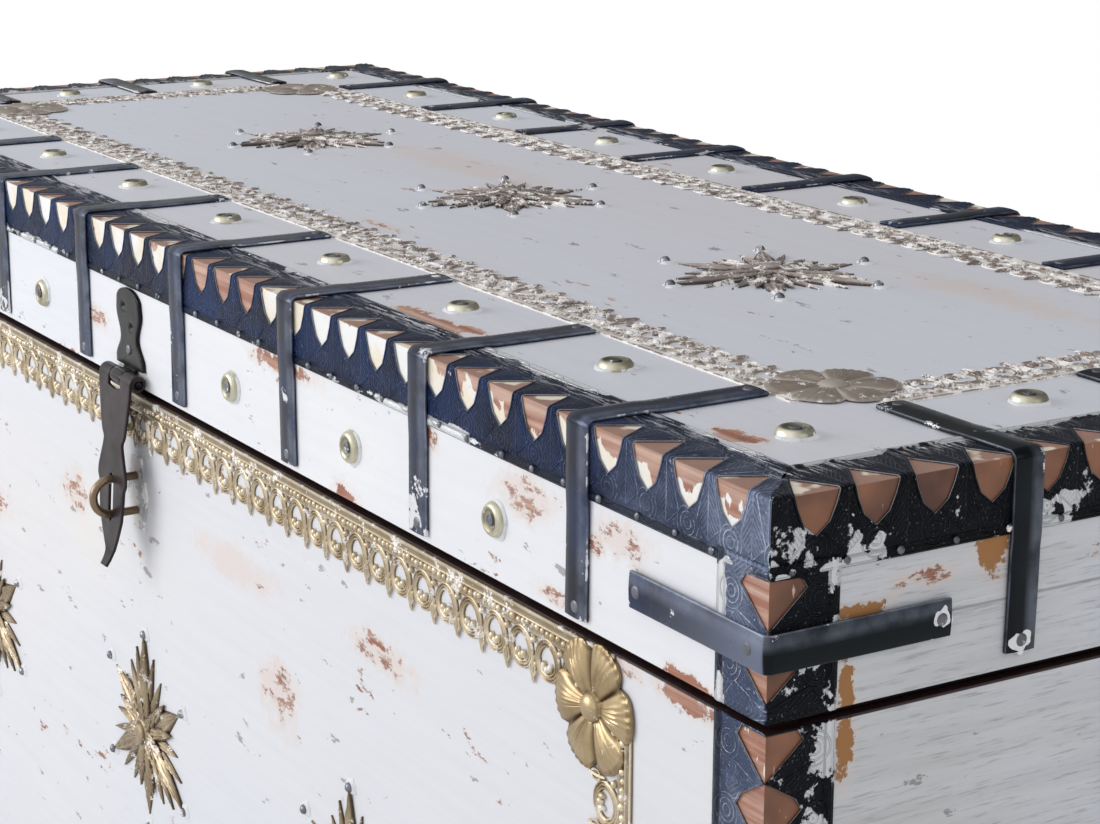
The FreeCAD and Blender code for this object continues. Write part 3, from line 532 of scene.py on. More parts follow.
# White paint over clay-red wood: clouds, rubbed patches, flakes that crowd near the given heights, dark red
# above one height, the wood that the sheet's cut-outs show, and bare timber deeper inside than paint
# reaches. run is the way the boards run, 0 for X and 1 for Y
def paintedWood(name, base, run=0, patches=(), amount=0.05, rims=(), seams=(), under=None, darkAbove=None):
    material, place = newMaterial(name, base)
    along = addNode("ShaderNodeMapping", {"Vector": place, "Rotation": (0, 0, run * math.pi / 2)})
    lines = useGroup(grain, {"Vector": along})
    laid = scaled(along, (0.4, 1, 1))
    x, y, z = separate(place)
    clouds = noise(laid, 3.2, 4.0)
    colour = blend(clouds.fit(0.35, 0.7), base, paint["cloud"])
    colour = blend(lines["Lines"].fit(0.4, 0.75, 0.0, 0.05 + 0.13 * run), colour, paint["grime"], "MULTIPLY")
    if run:
        thin = noise(scaled(along, (0.07, 1, 1)), 800.0, 3.0, 0.6).fit(0.55, 0.7, 0.0, 0.36)
        colour = blend(thin * clouds.fit(0.42, 0.58, 0.35, 1.0), colour, paint["grime"])
    colour = blend(flaked(laid, 5.0, 0.2, 0.25, 0.16) * 0.4, colour, paint["cream"])
    crowd = 0.0
    for height, reach in rims:
        crowd = highest(crowd, nearHeight(z, height, reach))
    if rims:
        crowd = crowd * noise(laid, 4.5, 2.0).fit(0.5, 0.64)
    worn = flaked(laid, 26.0, crowd * 0.5 + amount, 0.6)
    clay = blend(noise(place, 90.0), paint["clay"], paint["clayDark"])
    clay = blend(lines["Lines"].fit(0.42, 0.62, 0.0, 0.6), clay, paint["blush"])
    scuffs = noise(laid, 190.0, 5.0, 0.75).fit(0.5, 0.55)
    ochre = 0.0
    for centre, size, kind in patches:
        centre, size = [[value * mm for value in values] for values in (centre, size)]
        patch = useGroup(wornPatch, {"Vector": place, "Centre": centre, "Size": size})
        colour = blend(patch["Halo"] * (0.38 if kind == "stain" else 0.45), colour, paint["blush"])
        if kind != "stain":
            worn = highest(worn, patch["Mask"] * scuffs if kind == "scuff" else patch["Mask"])
        if kind == "ochre":
            ochre = highest(ochre, patch["Halo"])
    colour = blend(worn, colour, blend(ochre, clay, paint["ochre"]))
    colour = blend(flaked(laid, 95.0, 0.1, 0.3) * 0.6, colour, paint["grime"])
    for height in seams:
        broken = nearHeight(z, height, paint["seam"]) * noise(laid, 14.0).fit(0.38, 0.5, 0.0, 0.6)
        colour = blend(broken, colour, paint["grime"])
    across, deep, down = boardDepths(x, y, z)
    if under:
        band, shown = underSheet(place, x, (across, deep, down), lines, clay, under)
        colour = blend(band, colour, shown)
    if darkAbove:
        colour = blend(z.fit((darkAbove - 0.2) * mm, (darkAbove + 0.2) * mm), colour, paint["maroon"])
    inside = lowest(lowest(across, deep), down).fit((paint["deep"] - 1) * mm, paint["deep"] * mm)
    inside = inside * z.fit(bodyFoot * mm, (bodyFoot + 1) * mm)
    colour = blend(inside, colour, timber(lines, *paint["timber"]))
    height = lines["Lines"] * (0.05 + 0.15 * run) - worn * 0.9
    return dress(material, colour, (worn + clouds).fit(0.3, 1.2, 0.42, 0.72), height, 0.55, 0.0006)


# Where the boards show in the cut-outs, and how: on the top's edges clay red near the fold and then ragged
# paint on the long sides, with cream only at the right front, brown wood on the ends and faded brown above;
# clay at the corners
def underSheet(place, x, depths, lines, clay, under):
    across, deep, down = depths
    broad = noise(place, 50.0, 2.0)
    fine = noise(scaled(place, (1, 1, 0.3)), 300.0, 4.0, 0.65)
    pale = blend(noise(place, 34.0).fit(0.45, 0.55), paint["cream"], paint["white"])
    brown = blend(lines["Waves"].fit(0.35, 0.65), *paint["brown"])
    brown = blend(fine.fit(0.66, 0.7, 0.0, 0.7), brown, paint["blush"])
    atEnd = (across - deep).fit(0.2 * mm, -0.2 * mm)
    if under == "corner":
        band = highest(across, deep).fit((paint["cornerBand"] + 1) * mm, paint["cornerBand"] * mm)
        return band, blend(atEnd, blend((broad + fine).fit(0.8, 0.84), pale, clay), brown)
    creamRun = highest(x.fit(0.19, 0.2), x.fit(0.09, 0.075)).fit(0.0, 1.0, -0.02, 0.014) * x.fit(0.41, 0.39)
    bare = (down + (fine * 0.016 + broad * 0.08) + creamRun).fit(0.0572, 0.0562)
    side = blend(atEnd, blend(bare, pale, clay), brown)
    faded = blend(noise(place, 70.0), *paint["faded"])
    faded = blend(broad.fit(0.56, 0.62), faded, paint["cream"])
    band = lowest(across, deep).fit((paint["topBand"] + 1) * mm, paint["topBand"] * mm)
    return band, blend(down.fit(0.2 * mm, 0.6 * mm), faded, side)


# A patch on the face that looks along one axis: its level there, its two places and its two half sizes
def patchOn(axis, level, first, second, wide, tall, kind):
    centre, size = [first, second], [wide, tall]
    centre.insert(axis, level)
    size.insert(axis, 9)
    return centre, size, kind


frontY = caseY - lidY
lidFrontPatches = [patchOn(1, frontY, *row) for row in (
    (483, 577, 21, 9, "scuff"), (570, 577, 17, 8, "scuff"), (294, 529, 14, 6, "clay"),
    (545, 569, 6, 4, "scuff"), (515, 534, 20, 4, "scuff"), (622, 527, 14, 4, "clay"),
    (388, 585, 8, 6, "clay"), (215, 585, 34, 5, "clay"), (-60, 560, 16, 6, "scuff"),
    (-310, 540, 24, 7, "scuff"),
)]
topPatches = [patchOn(2, lidTop, *row) for row in (
    (591, -206, 15, 8, "clay"), (316, -209, 32, 8, "clay"), (350, -201, 18, 5, "clay"),
    (60, -103, 26, 4, "scuff"), (-240, 170, 30, 8, "clay"), (-420, -214, 24, 8, "clay"),
    (420, 90, 60, 14, "stain"), (-120, 60, 80, 18, "stain"),
)]
bodyFrontPatches = [patchOn(1, frontY, *row) for row in (
    (145, 447, 40, 9, "stain"), (330, 448, 28, 8, "scuff"), (203, 384, 20, 16, "scuff"),
    (621, 517, 22, 5, "clay"), (560, 518, 26, 4, "scuff"), (-115, 427, 18, 12, "scuff"),
    (-330, 380, 60, 16, "stain"), (470, 250, 60, 12, "scuff"), (-470, 180, 40, 9, "clay"),
    (60, 130, 70, 10, "scuff"),
)]
endPatches = [patchOn(0, *row) for row in (
    (lidX, -165, 578, 15, 4, "scuff"), (lidX, -129, 584, 10, 10, "ochre"), (lidX, -202, 569, 12, 4, "ochre"),
    (lidX, -208, 534, 5, 12, "ochre"), (lidX, 60, 545, 30, 6, "scuff"), (-lidX, 80, 560, 30, 7, "scuff"),
    (-lidX, -120, 540, 22, 6, "clay"), (lidX, -207, 508, 5, 14, "ochre"), (bodyX, 90, 300, 40, 9, "scuff"),
    (-bodyX, -60, 420, 30, 9, "clay"),
)]
lidRims = ((lidTop - 37, 7), (skirtLow, 4))
bodyRims = ((bodyTop, 9), (bodyFoot, 30))
lidSeam = (lidTop - 65,)
bodySeams = (365, 207)
darkRim = bodyTop - paint["darkRim"]

print("materials")
# base picks each board's paint tone; the darker low, top and end tones are painted shade
for name, nodes, base, *settings in (
    ("lidFrontPaint", ["lid_front_skirt"], "front", 0, lidFrontPatches, 0.05, lidRims, (), "corner"),
    ("lidBackPaint", ["lid_back_skirt"], "back", 0, (), 0.1, lidRims, (), "corner"),
    ("lidEndPaint", ["lid_right_skirt", "lid_left_skirt"], "end", 1, endPatches, 0.03, lidRims, lidSeam,
     "corner"),
    ("topPaint", ["lid_top_boards"], "top", 0, topPatches, 0.03, (), (), "fold"),
    ("bodyFrontPaint", ["front_wall"], "low", 0, bodyFrontPatches, 0.05, bodyRims, (), "corner", darkRim),
    ("bodyBackPaint", ["back_wall"], "back", 0, (), 0.1, bodyRims, bodySeams, "corner", darkRim),
    ("bodyEndPaint", ["right_wall", "left_wall"], "end", 1, endPatches, 0.06, bodyRims, bodySeams, "corner",
     darkRim),
    ("footPaint", ["feet"], "end", 0, (), 0.2, ((0, 12),)),
):
    coat(paintedWood(name, paint[base], *settings), nodes)


# Bare or stained boards inside and the dark moulding
def plainWood(name, light, dark, run=0, shine=0.6, gloss=0.5):
    material, place = newMaterial(name, light)
    along = addNode("ShaderNodeMapping", {"Vector": place, "Rotation": (0, 0, run * math.pi / 2)})
    lines = useGroup(grain, {"Vector": along})
    rough = lines["Lines"].fit(0.3, 0.7, shine - 0.12, shine + 0.15)
    return dress(material, timber(lines, light, dark, dark), rough, lines["Lines"], 0.4, 0.0005,
                 {"Specular IOR Level": gloss})


coat(plainWood("bareWood", *paint["timber"][:2]), ["floor_boards", "floor_cleats", "lid_lips"])
coat(plainWood("bareWoodAcross", tone(160, 114, 78), tone(104, 70, 46), 1), ["lid_battens"])
coat(plainWood("maroonWood", tone(36, 16, 16), tone(16, 8, 9), 0, 0.65, 0.15), ["rim_mouldings"])

# Tones of the pressed sheet: pairs for the long sides, their right end paled by a painted reflection and the
# chest's ends darkened to nearly black as painted shade, then single ones; hollows is painted shade, ridges
# and glint are painted highlights, the ridges partly also rubbed metal
sheetTones = {
    "navy": (tone(10, 25, 58), tone(32, 60, 110)),
    "steel": (tone(84, 98, 130), tone(154, 166, 194)),
    "black": (tone(14, 15, 18), tone(26, 28, 34)),
    "ridges": (tone(112, 132, 176), tone(222, 228, 240)),
    "ridgesAtEnd": tone(70, 74, 84),
    "hollows": (tone(12, 16, 28), tone(40, 48, 70)),
    "above": tone(62, 68, 84),
    "glint": tone(206, 212, 228),
    "rim": tone(16, 17, 22),
    "streak": tone(214, 214, 221),
    "darkStreak": tone(22, 22, 28),
    "residue": tone(222, 224, 228),
    "cutEdge": tone(206, 208, 214),
}


# Pressed sheet: lacquer with painted shade in the stamp's hollows, a painted reflection that pales it towards
# the right front end, painted highlights on its ridges and glints there, the ridges partly also rubbed,
# brushed streaks on top, pale cut edges, and white paint left near both rims; long sides navy and ends nearly
# black as painted shade
def sheetFinish(name):
    material, place = newMaterial(name, tone(45, 58, 84))
    fold, spread, edge, atEnd = [attribute(place, key) for key in ("fold", "spread", "edge", "end")]
    drawn = useGroup(stamp, {"Fold": fold, "Spread": spread, "Edge": edge})["Height"]
    broad = noise(place, 26.0, 5.0, 0.6)
    fine = noise(place, 800.0, 4.0, 0.7)
    # Painted reflection: the long sides pale from navy to steel towards the right front end; the same share
    # also pales the rubbed ridges there
    reflectionAndRubbing = separate(place)[0].fit(0.52, 0.66) * (1.0 - atEnd)
    navy = blend(broad.fit(0.35, 0.65), *sheetTones["navy"])
    steel = blend(broad.fit(0.4, 0.6), *sheetTones["steel"])
    black = blend(broad.fit(0.35, 0.7), *sheetTones["black"])
    # Ends nearly black: painted shade on the faces that get less light
    colour = blend(atEnd, blend(reflectionAndRubbing * 0.85, navy, steel), black)
    colour = blend(fold.fit(-0.5, 2.0) * 0.5, colour, sheetTones["above"])
    # Painted shade: the stamp's hollows darkened
    hollow = (drawn + fine).fit(0.75, 0.45, 0.0, 0.65)
    colour = blend(hollow, colour, blend(reflectionAndRubbing, *sheetTones["hollows"]))
    # Painted highlight: pale ridges and glints towards the right front end, the ridges partly also rubbed
    # metal
    ridges = blend(atEnd, blend(reflectionAndRubbing, *sheetTones["ridges"]), sheetTones["ridgesAtEnd"])
    worn = noise(place, 120.0, 3.0).fit(0.42, 0.6) * reflectionAndRubbing.fit(0.0, 1.0, 0.4, 0.95)
    colour = blend((drawn * 0.6 + fine).fit(0.98, 1.22) * worn, colour, ridges)
    colour = blend(fine.fit(0.645, 0.68) * (reflectionAndRubbing * 0.45 + 0.55), colour, sheetTones["glint"])
    lower = fold.fit(-30.2, -30.8)
    colour = blend(lower * 0.7, colour, sheetTones["rim"])
    drag = noise(scaled(place, (0.12, 1, 1)), 420.0, 4.0, 0.6)
    beside = fold.fit(16.0, 26.0) * noise(place, 16.0, 2.0).fit(0.4, 0.52)
    colour = blend(drag.fit(0.515, 0.55) * (beside * 0.75), colour, sheetTones["streak"])
    colour = blend(drag.fit(0.47, 0.43) * (beside * 0.8), colour, sheetTones["darkStreak"])
    near = highest(highest(fold.fit(24.0, 34.0), fold.fit(-26.0, -32.0, 0.0, 0.85)), atEnd * 0.3)
    amount = near * noise(place, 9.0, 2.0).fit(0.42, 0.6, 0.05, 0.9)
    residue = flaked(scaled(place, (0.6, 1, 1)), 40.0, amount, 0.3)
    blobs = flaked(place, 42.0, atEnd * fold.fit(-3.0, -24.0) * 0.42, 0.22, 0.015)
    colour = blend(highest(residue, blobs), colour, sheetTones["residue"])
    colour = blend((edge + broad * 1.6).fit(1.2, 0.9, 0.0, 0.5), colour, sheetTones["cutEdge"])
    height = drawn * 1.2 + fine * 0.8 - lower * 1.6
    return dress(material, colour, broad.fit(0.3, 0.7, 0.24, 0.4), height, 1.0, 0.0007,
                 {"Metallic": 0.4, "Specular IOR Level": 0.12})


# Painted iron: dark gloss with dents; with chips, white paint left near a strap's ends and along its sides,
# and a painted highlight along its edges; with corner, a painted highlight that pales the front arm towards
# the corner and painted shade that makes the end arm blackish
def ironFinish(name, dark, light, rough, metal, chips=0.0, corner=False, shine=0.3):
    material, place = newMaterial(name, dark)
    marks = useGroup(beaten, {"Vector": place, "Scale": 160.0})
    colour = blend(marks["Dull"].fit(0.35, 0.7), dark, light)
    if corner:
        # Painted highlight on the front arm towards the corner, painted shade on the end arm beyond the lid's
        # end
        far = abs(separate(place)[0])
        colour = blend(far.fit(0.59, 0.676, 0.0, 0.8), colour, tone(118, 126, 146))
        colour = blend(far.fit((lidX + 0.2) * mm, (lidX + 1) * mm), colour, tone(8, 17, 23))
    if chips:
        along, rim = attribute(place, "along"), attribute(place, "rim")
        # Painted highlight: a pale line along the edges, stronger on one side
        colour = blend(rim * noise(place, 60.0, 3.0).fit(0.35, 0.6, 0.2, 0.8), colour, tone(150, 158, 176))
        ends = highest(along.fit(0.74, 0.96), along.fit(0.1, 0.0, 0.0, 0.5))
        some = noise(place, 5.0, 1.0).fit(0.44, 0.6, 0.12, 0.85)
        side = rim.fit(0.3, 0.8) * chips
        amount = ends * some * chips + 0.1 + side * noise(place, 7.0, 1.0).fit(0.5, 0.62)
        colour = blend(flaked(place, 55.0, amount, 0.4), colour, tone(224, 226, 230))
    roughness = marks["Dull"].fit(0.3, 0.7, rough - 0.08, rough + 0.14)
    more = {"Metallic": metal, "Coat Weight": 0.15, "Coat Roughness": 0.12, "Specular IOR Level": shine}
    return dress(material, colour, roughness, marks["Height"], 0.3, 0.0004, more)


# Pressed brass: pale gold that darkens in broad patches, a hollow tone in the hollows that is painted shade
# where it is dark and white paint where it is white, and white paint caught in it
def brassFinish(name, pale, deep, rough=0.3, caught=0.2, hollow=None, metal=0.85, dustScale=110.0):
    material, place = newMaterial(name, pale)
    marks = useGroup(beaten, {"Vector": place, "Scale": 260.0})
    patchy = marks["Dull"].fit(0.38, 0.66, 0.0, 0.6) + noise(place, 14.0, 4.0).fit(0.45, 0.7, 0.0, 0.4)
    colour = blend(patchy, pale, deep)
    if hollow:
        # The hollow tone: painted shade when dark, caught white paint when pale
        colour = blend(attribute(place, "hollow").fit(0.25, 0.95, 0.0, 0.9), colour, hollow)
    dust = flaked(place, dustScale, caught, 0.6, 0.05)
    colour = blend(dust * 0.95, colour, tone(250, 247, 244))
    roughness = marks["Dull"].fit(0.3, 0.7, rough - 0.06, rough + 0.16)
    return dress(material, colour, roughness, marks["Height"], 0.35, 0.0003,
                 {"Metallic": metal - dust * (metal - 0.1)})


# Dabs of white paint round nails and studs
def dabFinish(name):
    material, place = newMaterial(name, tone(226, 228, 232))
    grime = noise(place, 160.0, 4.0, 0.7).fit(0.5, 0.75, 0.0, 0.55)
    colour = blend(grime, tone(228, 230, 234), tone(168, 166, 168))
    return dress(material, colour, 0.5, noise(place, 320.0, 3.0), 0.4, 0.0004)


pressedSheet = sheetFinish("pressedSheet")
strapIron = ironFinish("strapIron", tone(9, 13, 26), tone(32, 48, 84), 0.22, 0.4, 0.55, False, 0.14)
# The ends' straps: a darker copy of the straps' iron, painted shade
endIron = ironFinish("endIron", tone(7, 12, 17), tone(20, 28, 36), 0.24, 0.35, 0.5, False, 0.14)
bracketIron = ironFinish("bracketIron", tone(9, 13, 26), tone(32, 48, 84), 0.22, 0.4, 0.5, True, 0.14)
plainIron = ironFinish("plainIron", tone(18, 20, 27), tone(38, 40, 50), 0.38, 0.3)
haspIron = ironFinish("haspIron", tone(52, 41, 44), tone(33, 26, 29), 0.36, 0.35, shine=0.22)
plateIron = ironFinish("plateIron", tone(24, 21, 25), tone(13, 12, 15), 0.24, 0.35, shine=0.16)
stapleIron = ironFinish("stapleIron", tone(150, 128, 104), tone(92, 78, 66), 0.32, 0.8)
frontBrass = brassFinish("frontBrass", tone(230, 216, 190), tone(170, 151, 120), 0.3, 0.3, tone(104, 86, 64),
                         0.75, 130.0)
topBrass = brassFinish("topBrass", tone(164, 150, 142), tone(112, 98, 92), 0.5, 0.52, tone(250, 246, 242),
                       0.3, 120.0)
rosetteBrass = brassFinish("rosetteBrass", tone(185, 164, 129), tone(146, 124, 91), 0.3, 0.1,
                           tone(92, 74, 50))
lidRosetteBrass = brassFinish("lidRosetteBrass", tone(172, 159, 147), tone(132, 119, 109), 0.4, 0.2,
                              tone(204, 197, 188), 0.5, 150.0)
starBrass = brassFinish("starBrass", tone(186, 168, 140), tone(112, 96, 78), 0.36, 0.26, tone(70, 58, 46))
lidStarBrass = brassFinish("lidStarBrass", tone(188, 176, 170), tone(118, 104, 100), 0.48, 0.42,
                           tone(62, 54, 52), 0.5, 120.0)
studBrass = brassFinish("studBrass", tone(222, 218, 198), tone(176, 170, 146), 0.28, 0.2, tone(112, 106, 82))
nailSteel = brassFinish("nailSteel", tone(128, 130, 138), tone(74, 76, 84), 0.4, 0.24)
ballSteel = brassFinish("ballSteel", tone(150, 152, 160), tone(78, 80, 88), 0.3, 0.3)
plateCoat = brassFinish("plateCoat", tone(206, 208, 212), tone(150, 150, 154), 0.5, 0.6, None, 0.1, 60.0)
paintDab = dabFinish("paintDab")
coat(plateIron, ["hasp_pin"])
coat(plateCoat, ["staple_plate"])
coat(plainIron, ["body_hinge_leaves", "lid_hinge_leaves", "hinge_pins", "right_handle_plates",
                 "left_handle_plates"])


# The fold: flat on both sides, and between them a turn about one centre. The distance runs inwards above 0
# and down the second side below 0
def folded(distance, height, bend):
    quarter = bend * math.pi / 4
    angle = np.clip((quarter - distance) / (2 * quarter), 0, 1) * math.pi / 2
    inward = bend + np.clip(distance - quarter, 0, None) - (bend + height) * np.sin(angle)
    upward = -bend + np.clip(distance + quarter, None, 0) + (bend + height) * np.cos(angle)
    return inward, upward


# Distances from the fold along a bent bar, closer together round the bend
def bentRun(reach, drop, bend, steps):
    quarter = bend * math.pi / 4
    return np.concatenate([np.linspace(reach, quarter, steps), np.linspace(quarter, -quarter, 8)[1:-1],
                           np.linspace(-quarter, -drop, steps)])


# A bell round one value: 1 there, falling with the square of the distance over the width
def ridge(value, at, width):
    return np.exp(-((value - at) / width) ** 2)


# The larger forms of the stamp, in millimetres: a pillow on each leaf, the rolled rim, its groove and a
# bead along the cut edges
def sheetRelief(spread, away, edge):
    opening = strip["toothOpen"] + strip["toothSlope"] * away
    half = np.minimum(opening, strip["toothClose"] * (strip["toothEnd"] - away))
    pillow = 0.8 * np.sqrt(np.clip(1 - (spread / np.maximum(half, 0.1)) ** 2, 0, 1)) * (half > 0.3)
    roll = 0.9 * ridge(away, 33.2, 1.5) - 0.5 * ridge(away, 30.4, 0.8)
    bead = 0.5 * ridge(edge, 0.9, 0.6)
    return np.maximum(np.maximum(pillow, bead), 0) + roll


# One edge: each tooth is a grid whose sides follow the cut-outs beside it, and the ends run to the mitre
def edgeStrip(face, run, first):
    along, up, out = face["axes"]
    low, shoulder, high = strip["cutAt"][0], strip["cutAt"][1], strip["cutAt"][-1]
    count = max(round((run - 2 * first) / strip["pitch"]), 1)
    cuts = np.linspace(first - run / 2, run / 2 - first, count + 1)
    pitch = cuts[1] - cuts[0]
    distance = np.concatenate([
        np.linspace(-strip["leg"], low, 15)[:-1], np.linspace(low, shoulder, 5)[:-1],
        np.linspace(shoulder, -0.8, 9), [-0.4, 0.0, 0.4], np.linspace(0.8, high, 12),
        np.linspace(high, strip["topLeg"], 12)[1:],
    ])
    cutHalf = np.interp(distance, strip["cutAt"], strip["cutWidth"]) / 2
    even = np.linspace(0, 1, strip["columns"])
    share = 0.55 * even + 0.45 * (0.5 - 0.5 * np.cos(math.pi * even))
    lefts = np.concatenate([[-run / 2 - strip["overrun"]], cuts])[:, None]
    rights = np.concatenate([cuts, [run / 2 + strip["overrun"]]])[:, None]
    beside = np.append(0, np.ones(len(cuts)))[:, None]    # the first tooth has no cut-out before it
    left = lefts + cutHalf * beside
    right = rights - cutHalf * beside[::-1]
    place = left[..., None] + (right - left)[..., None] * share
    away = distance[None, :, None]
    limit = run / 2 - np.clip(away, 0, None) + strip["overrun"]
    place = np.clip(place, -limit, limit)
    middles = np.append(cuts - pitch / 2, cuts[-1] + pitch / 2)[:, None, None]
    toSide = np.minimum(np.abs(place - left[..., None]), np.abs(right[..., None] - place))
    toLine = np.minimum(np.abs(place - lefts[..., None]), np.abs(rights[..., None] - place))
    toLine = toLine + np.minimum(np.abs(away - high), np.abs(away - low))
    edge = np.minimum(np.where((cutHalf > 0)[None, :, None], toSide, toLine), 9.0)
    fold = np.broadcast_to(away, place.shape)
    spread = np.abs(place - middles)
    lift = strip["lift"] + strip["relief"] * sheetRelief(spread, np.abs(fold), edge)
    inner, upper = folded(fold, lift, strip["bend"])
    points = face["start"] + place[..., None] * along - inner[..., None] * out + upper[..., None] * up
    cells, rows, columns = place.shape
    shift = (np.arange(cells) * rows * columns)[:, None, None]
    marks = {"fold": fold.ravel(), "edge": edge.ravel(), "spread": spread.ravel(),
             "end": np.full(fold.size, abs(along[1]))}
    return points.reshape(-1, 3), [(gridQuads(rows, columns) + shift).reshape(-1, 4)], marks


print("pressed sheet")
longEdge, shortEdge = (2 * lidX, strip["firstLong"]), (2 * lidY, strip["firstShort"])
for side, size in (("front", longEdge), ("right", shortEdge), ("back", longEdge), ("left", shortEdge)):
    makePiece(side + "Strip", [edgeStrip(lidFaces[side], *size)], "lid", pressedSheet,
              [f"lid_{side}_strip"], merge=0.02, thick=strip["wall"])

# Pressed sheet round the upright corners, with cut-outs whose point is on the corner
cornerSheet = {
    "leg": 36.0,
    "bend": 1.0,
    "lift": 0.5,
    "lidLift": 0.35,
    "lidFrom": 29.0,
    "lidFirst": 6.0,
    "wall": 0.5,
    "pitch": 32.0,
    "cutAt": [0.0, 0.4, 5.5, 22.0],
    "cutReach": [15.5, 15.5, 19.0, 0.0],
    "lastCut": 26.0,
    "leafFrom": 27.0,
    "step": 1.3,
    "relief": 0.6,
}
cornerSigns = [(1, -1), (1, 1), (-1, 1), (-1, -1)]


# Both legs of a corner sheet: rows run from the cut-outs' edge to the rim, columns down the corner
def cornerShape(signX, signY, x, y, top, height, lift, first):
    pitch = cornerSheet["pitch"]
    starts = first + np.arange(int((height - first - cornerSheet["lastCut"]) / pitch) + 1) * pitch
    key = np.concatenate([[0.0], *[start + np.array(cornerSheet["cutAt"]) for start in starts], [height]])
    value = np.concatenate([[0.0], *[cornerSheet["cutReach"] for _ in starts], [0.0]])
    key[1] = first + 0.001
    value[1] = 0.0 if first else cornerSheet["cutReach"][0]
    counts = [max(int((high - low) / cornerSheet["step"]), 1) for low, high in zip(key, key[1:])]
    rows = [np.linspace(low, high, count + 1)[:-1] for low, high, count in zip(key, key[1:], counts)]
    drop = np.append(np.concatenate(rows), height)
    cut = np.interp(drop, key, value)
    share = np.concatenate([[0, 0.012, 0.03, 0.055], np.linspace(0.09, 1, 20)])
    reach = cut + (cornerSheet["leg"] - cut) * share[:, None]
    phase = (drop - first - cornerSheet["leafFrom"] + pitch / 2) % pitch - pitch / 2
    spread = np.broadcast_to(np.abs(phase), reach.shape)
    edge = np.where(cut > 0, reach - cut, 9.0)
    raised = lift + cornerSheet["relief"] * sheetRelief(spread, reach, edge)
    shapes = []
    for way in (1, -1):
        inner, outer = folded(way * reach, raised, cornerSheet["bend"])
        points = np.stack([signX * (x - inner), caseY + signY * (y + outer), top - drop + 0 * inner], axis=-1)
        quads = gridQuads(*reach.shape)[:, ::-way * signX * signY]
        marks = {"fold": -reach.ravel(), "edge": edge.ravel(), "spread": spread.ravel(),
                 "end": np.full(reach.size, 0.5 - 0.5 * way)}
        shapes.append((points.reshape(-1, 3), [quads], marks))
    return shapes


below = cornerSheet["lidFrom"]
bodies = {"lid": "lid", "body": "chest"}
for part, *sizes in (
    ("lid", lidX, lidY, lidTop - below, lidDepth - below, cornerSheet["lidLift"], cornerSheet["lidFirst"]),
    ("body", bodyX, bodyY, bodyTop, bodyTop - bodyFoot, cornerSheet["lift"], 0.0),
):
    shapes = [leg for signs in cornerSigns for leg in cornerShape(*signs, *sizes)]
    makePiece(part + "CornerSheets", shapes, bodies[part], pressedSheet,
              [part + "_corner_sheets"], merge=0.02, thick=cornerSheet["wall"])

# Iron straps over the lid's edges; long is for the front and the back, short for the ends
strap = {
    "long": {"count": 8, "pitch": 152.0, "reach": 99.0, "tail": 4.0, "width": 18.0},
    "short": {"count": 3, "pitch": 124.0, "reach": 93.0, "tail": 8.0, "width": 17.0},
    "thick": 2.0,
    "lift": 0.8,
    "bend": 1.5,
    "edgeRadius": 0.5,
    "crown": 0.5,
    "lowered": 0.55,
    "nailInset": 5.2,
    "nailOut": 2.3,
}


# A bar of the straps' section along a route, with its marks: how far along, and where its edges get a painted
# highlight and paint flakes
def ironBar(route, across, width, along):
    outline = strapOutline(width, strap["thick"], strap["edgeRadius"], strap["crown"])
    points, faces = bar(route, across, outline)
    marks = {"along": np.append(np.repeat(along, len(outline)), [along[0], 1.0]),
             "rim": edgeSheenAndWearMarks(outline, width, strap["thick"], len(route))}
    return points, faces, marks


# A strap bent over the edge; small slow waves keep it from looking ruled, and it lies lower beyond the sheet
def strapShape(face, place, size, wave):
    across, up, out = face["axes"]
    distance = bentRun(size["reach"], lidDepth - size["tail"], strap["bend"], 16)
    bow = 0.35 * np.sin(distance * 0.055 + wave) * np.clip(np.abs(distance) / 20, 0, 1)
    inner, upper = folded(distance, 0, strap["bend"])
    lower = np.clip((np.abs(distance) - 36) / 5, 0, 1) * strap["lowered"]
    lift = strap["lift"] - lower + np.clip(bow, 0, None) * 0.4
    inner = inner - np.where(distance > 0, 0, lift)
    upper = upper + np.where(distance > 0, lift, 0)
    sway = 0.5 * np.sin(distance * 0.03 + wave * 2.1)
    route = face["start"] + (place + sway)[:, None] * across - inner[:, None] * out + upper[:, None] * up
    return ironBar(route, across, size["width"], np.linspace(0, 1, len(distance)))


print("straps and brackets")
nailSpots = []
for side in ("front", "back", "right", "left"):
    size = strap["long" if side in ("front", "back") else "short"]
    places = evenRow(size["count"], size["pitch"])
    face = lidFaces[side]
    shapes = [strapShape(face, place, size, random.uniform(0, 6)) for place in places]
    makePiece(side + "Straps", shapes, "lid", strapIron if size is strap["long"] else endIron,
              [f"lid_{side}_straps"], sharp=50)
    low = strap["nailInset"] + size["tail"] - lidDepth
    for place in places:
        nailSpots.append(placeOn(face, place, low, random.uniform(0, 6), strap["nailOut"],
                                 random.uniform(0.9, 1.05)))
        start = placeOn(face, place, strap["nailOut"], 0, strap["nailInset"] - size["reach"])[0]
        nailSpots.append((start, placeOn(lidFaces["top"], 0, 0, random.uniform(0, 6))[1]))

# Hammered nail heads: a low dome with a small flat
nailHead = lathe([(3.3, -0.4), (3.3, 0.3), (3.0, 0.75), (2.2, 1.0), (1.0, 1.1)], 12)


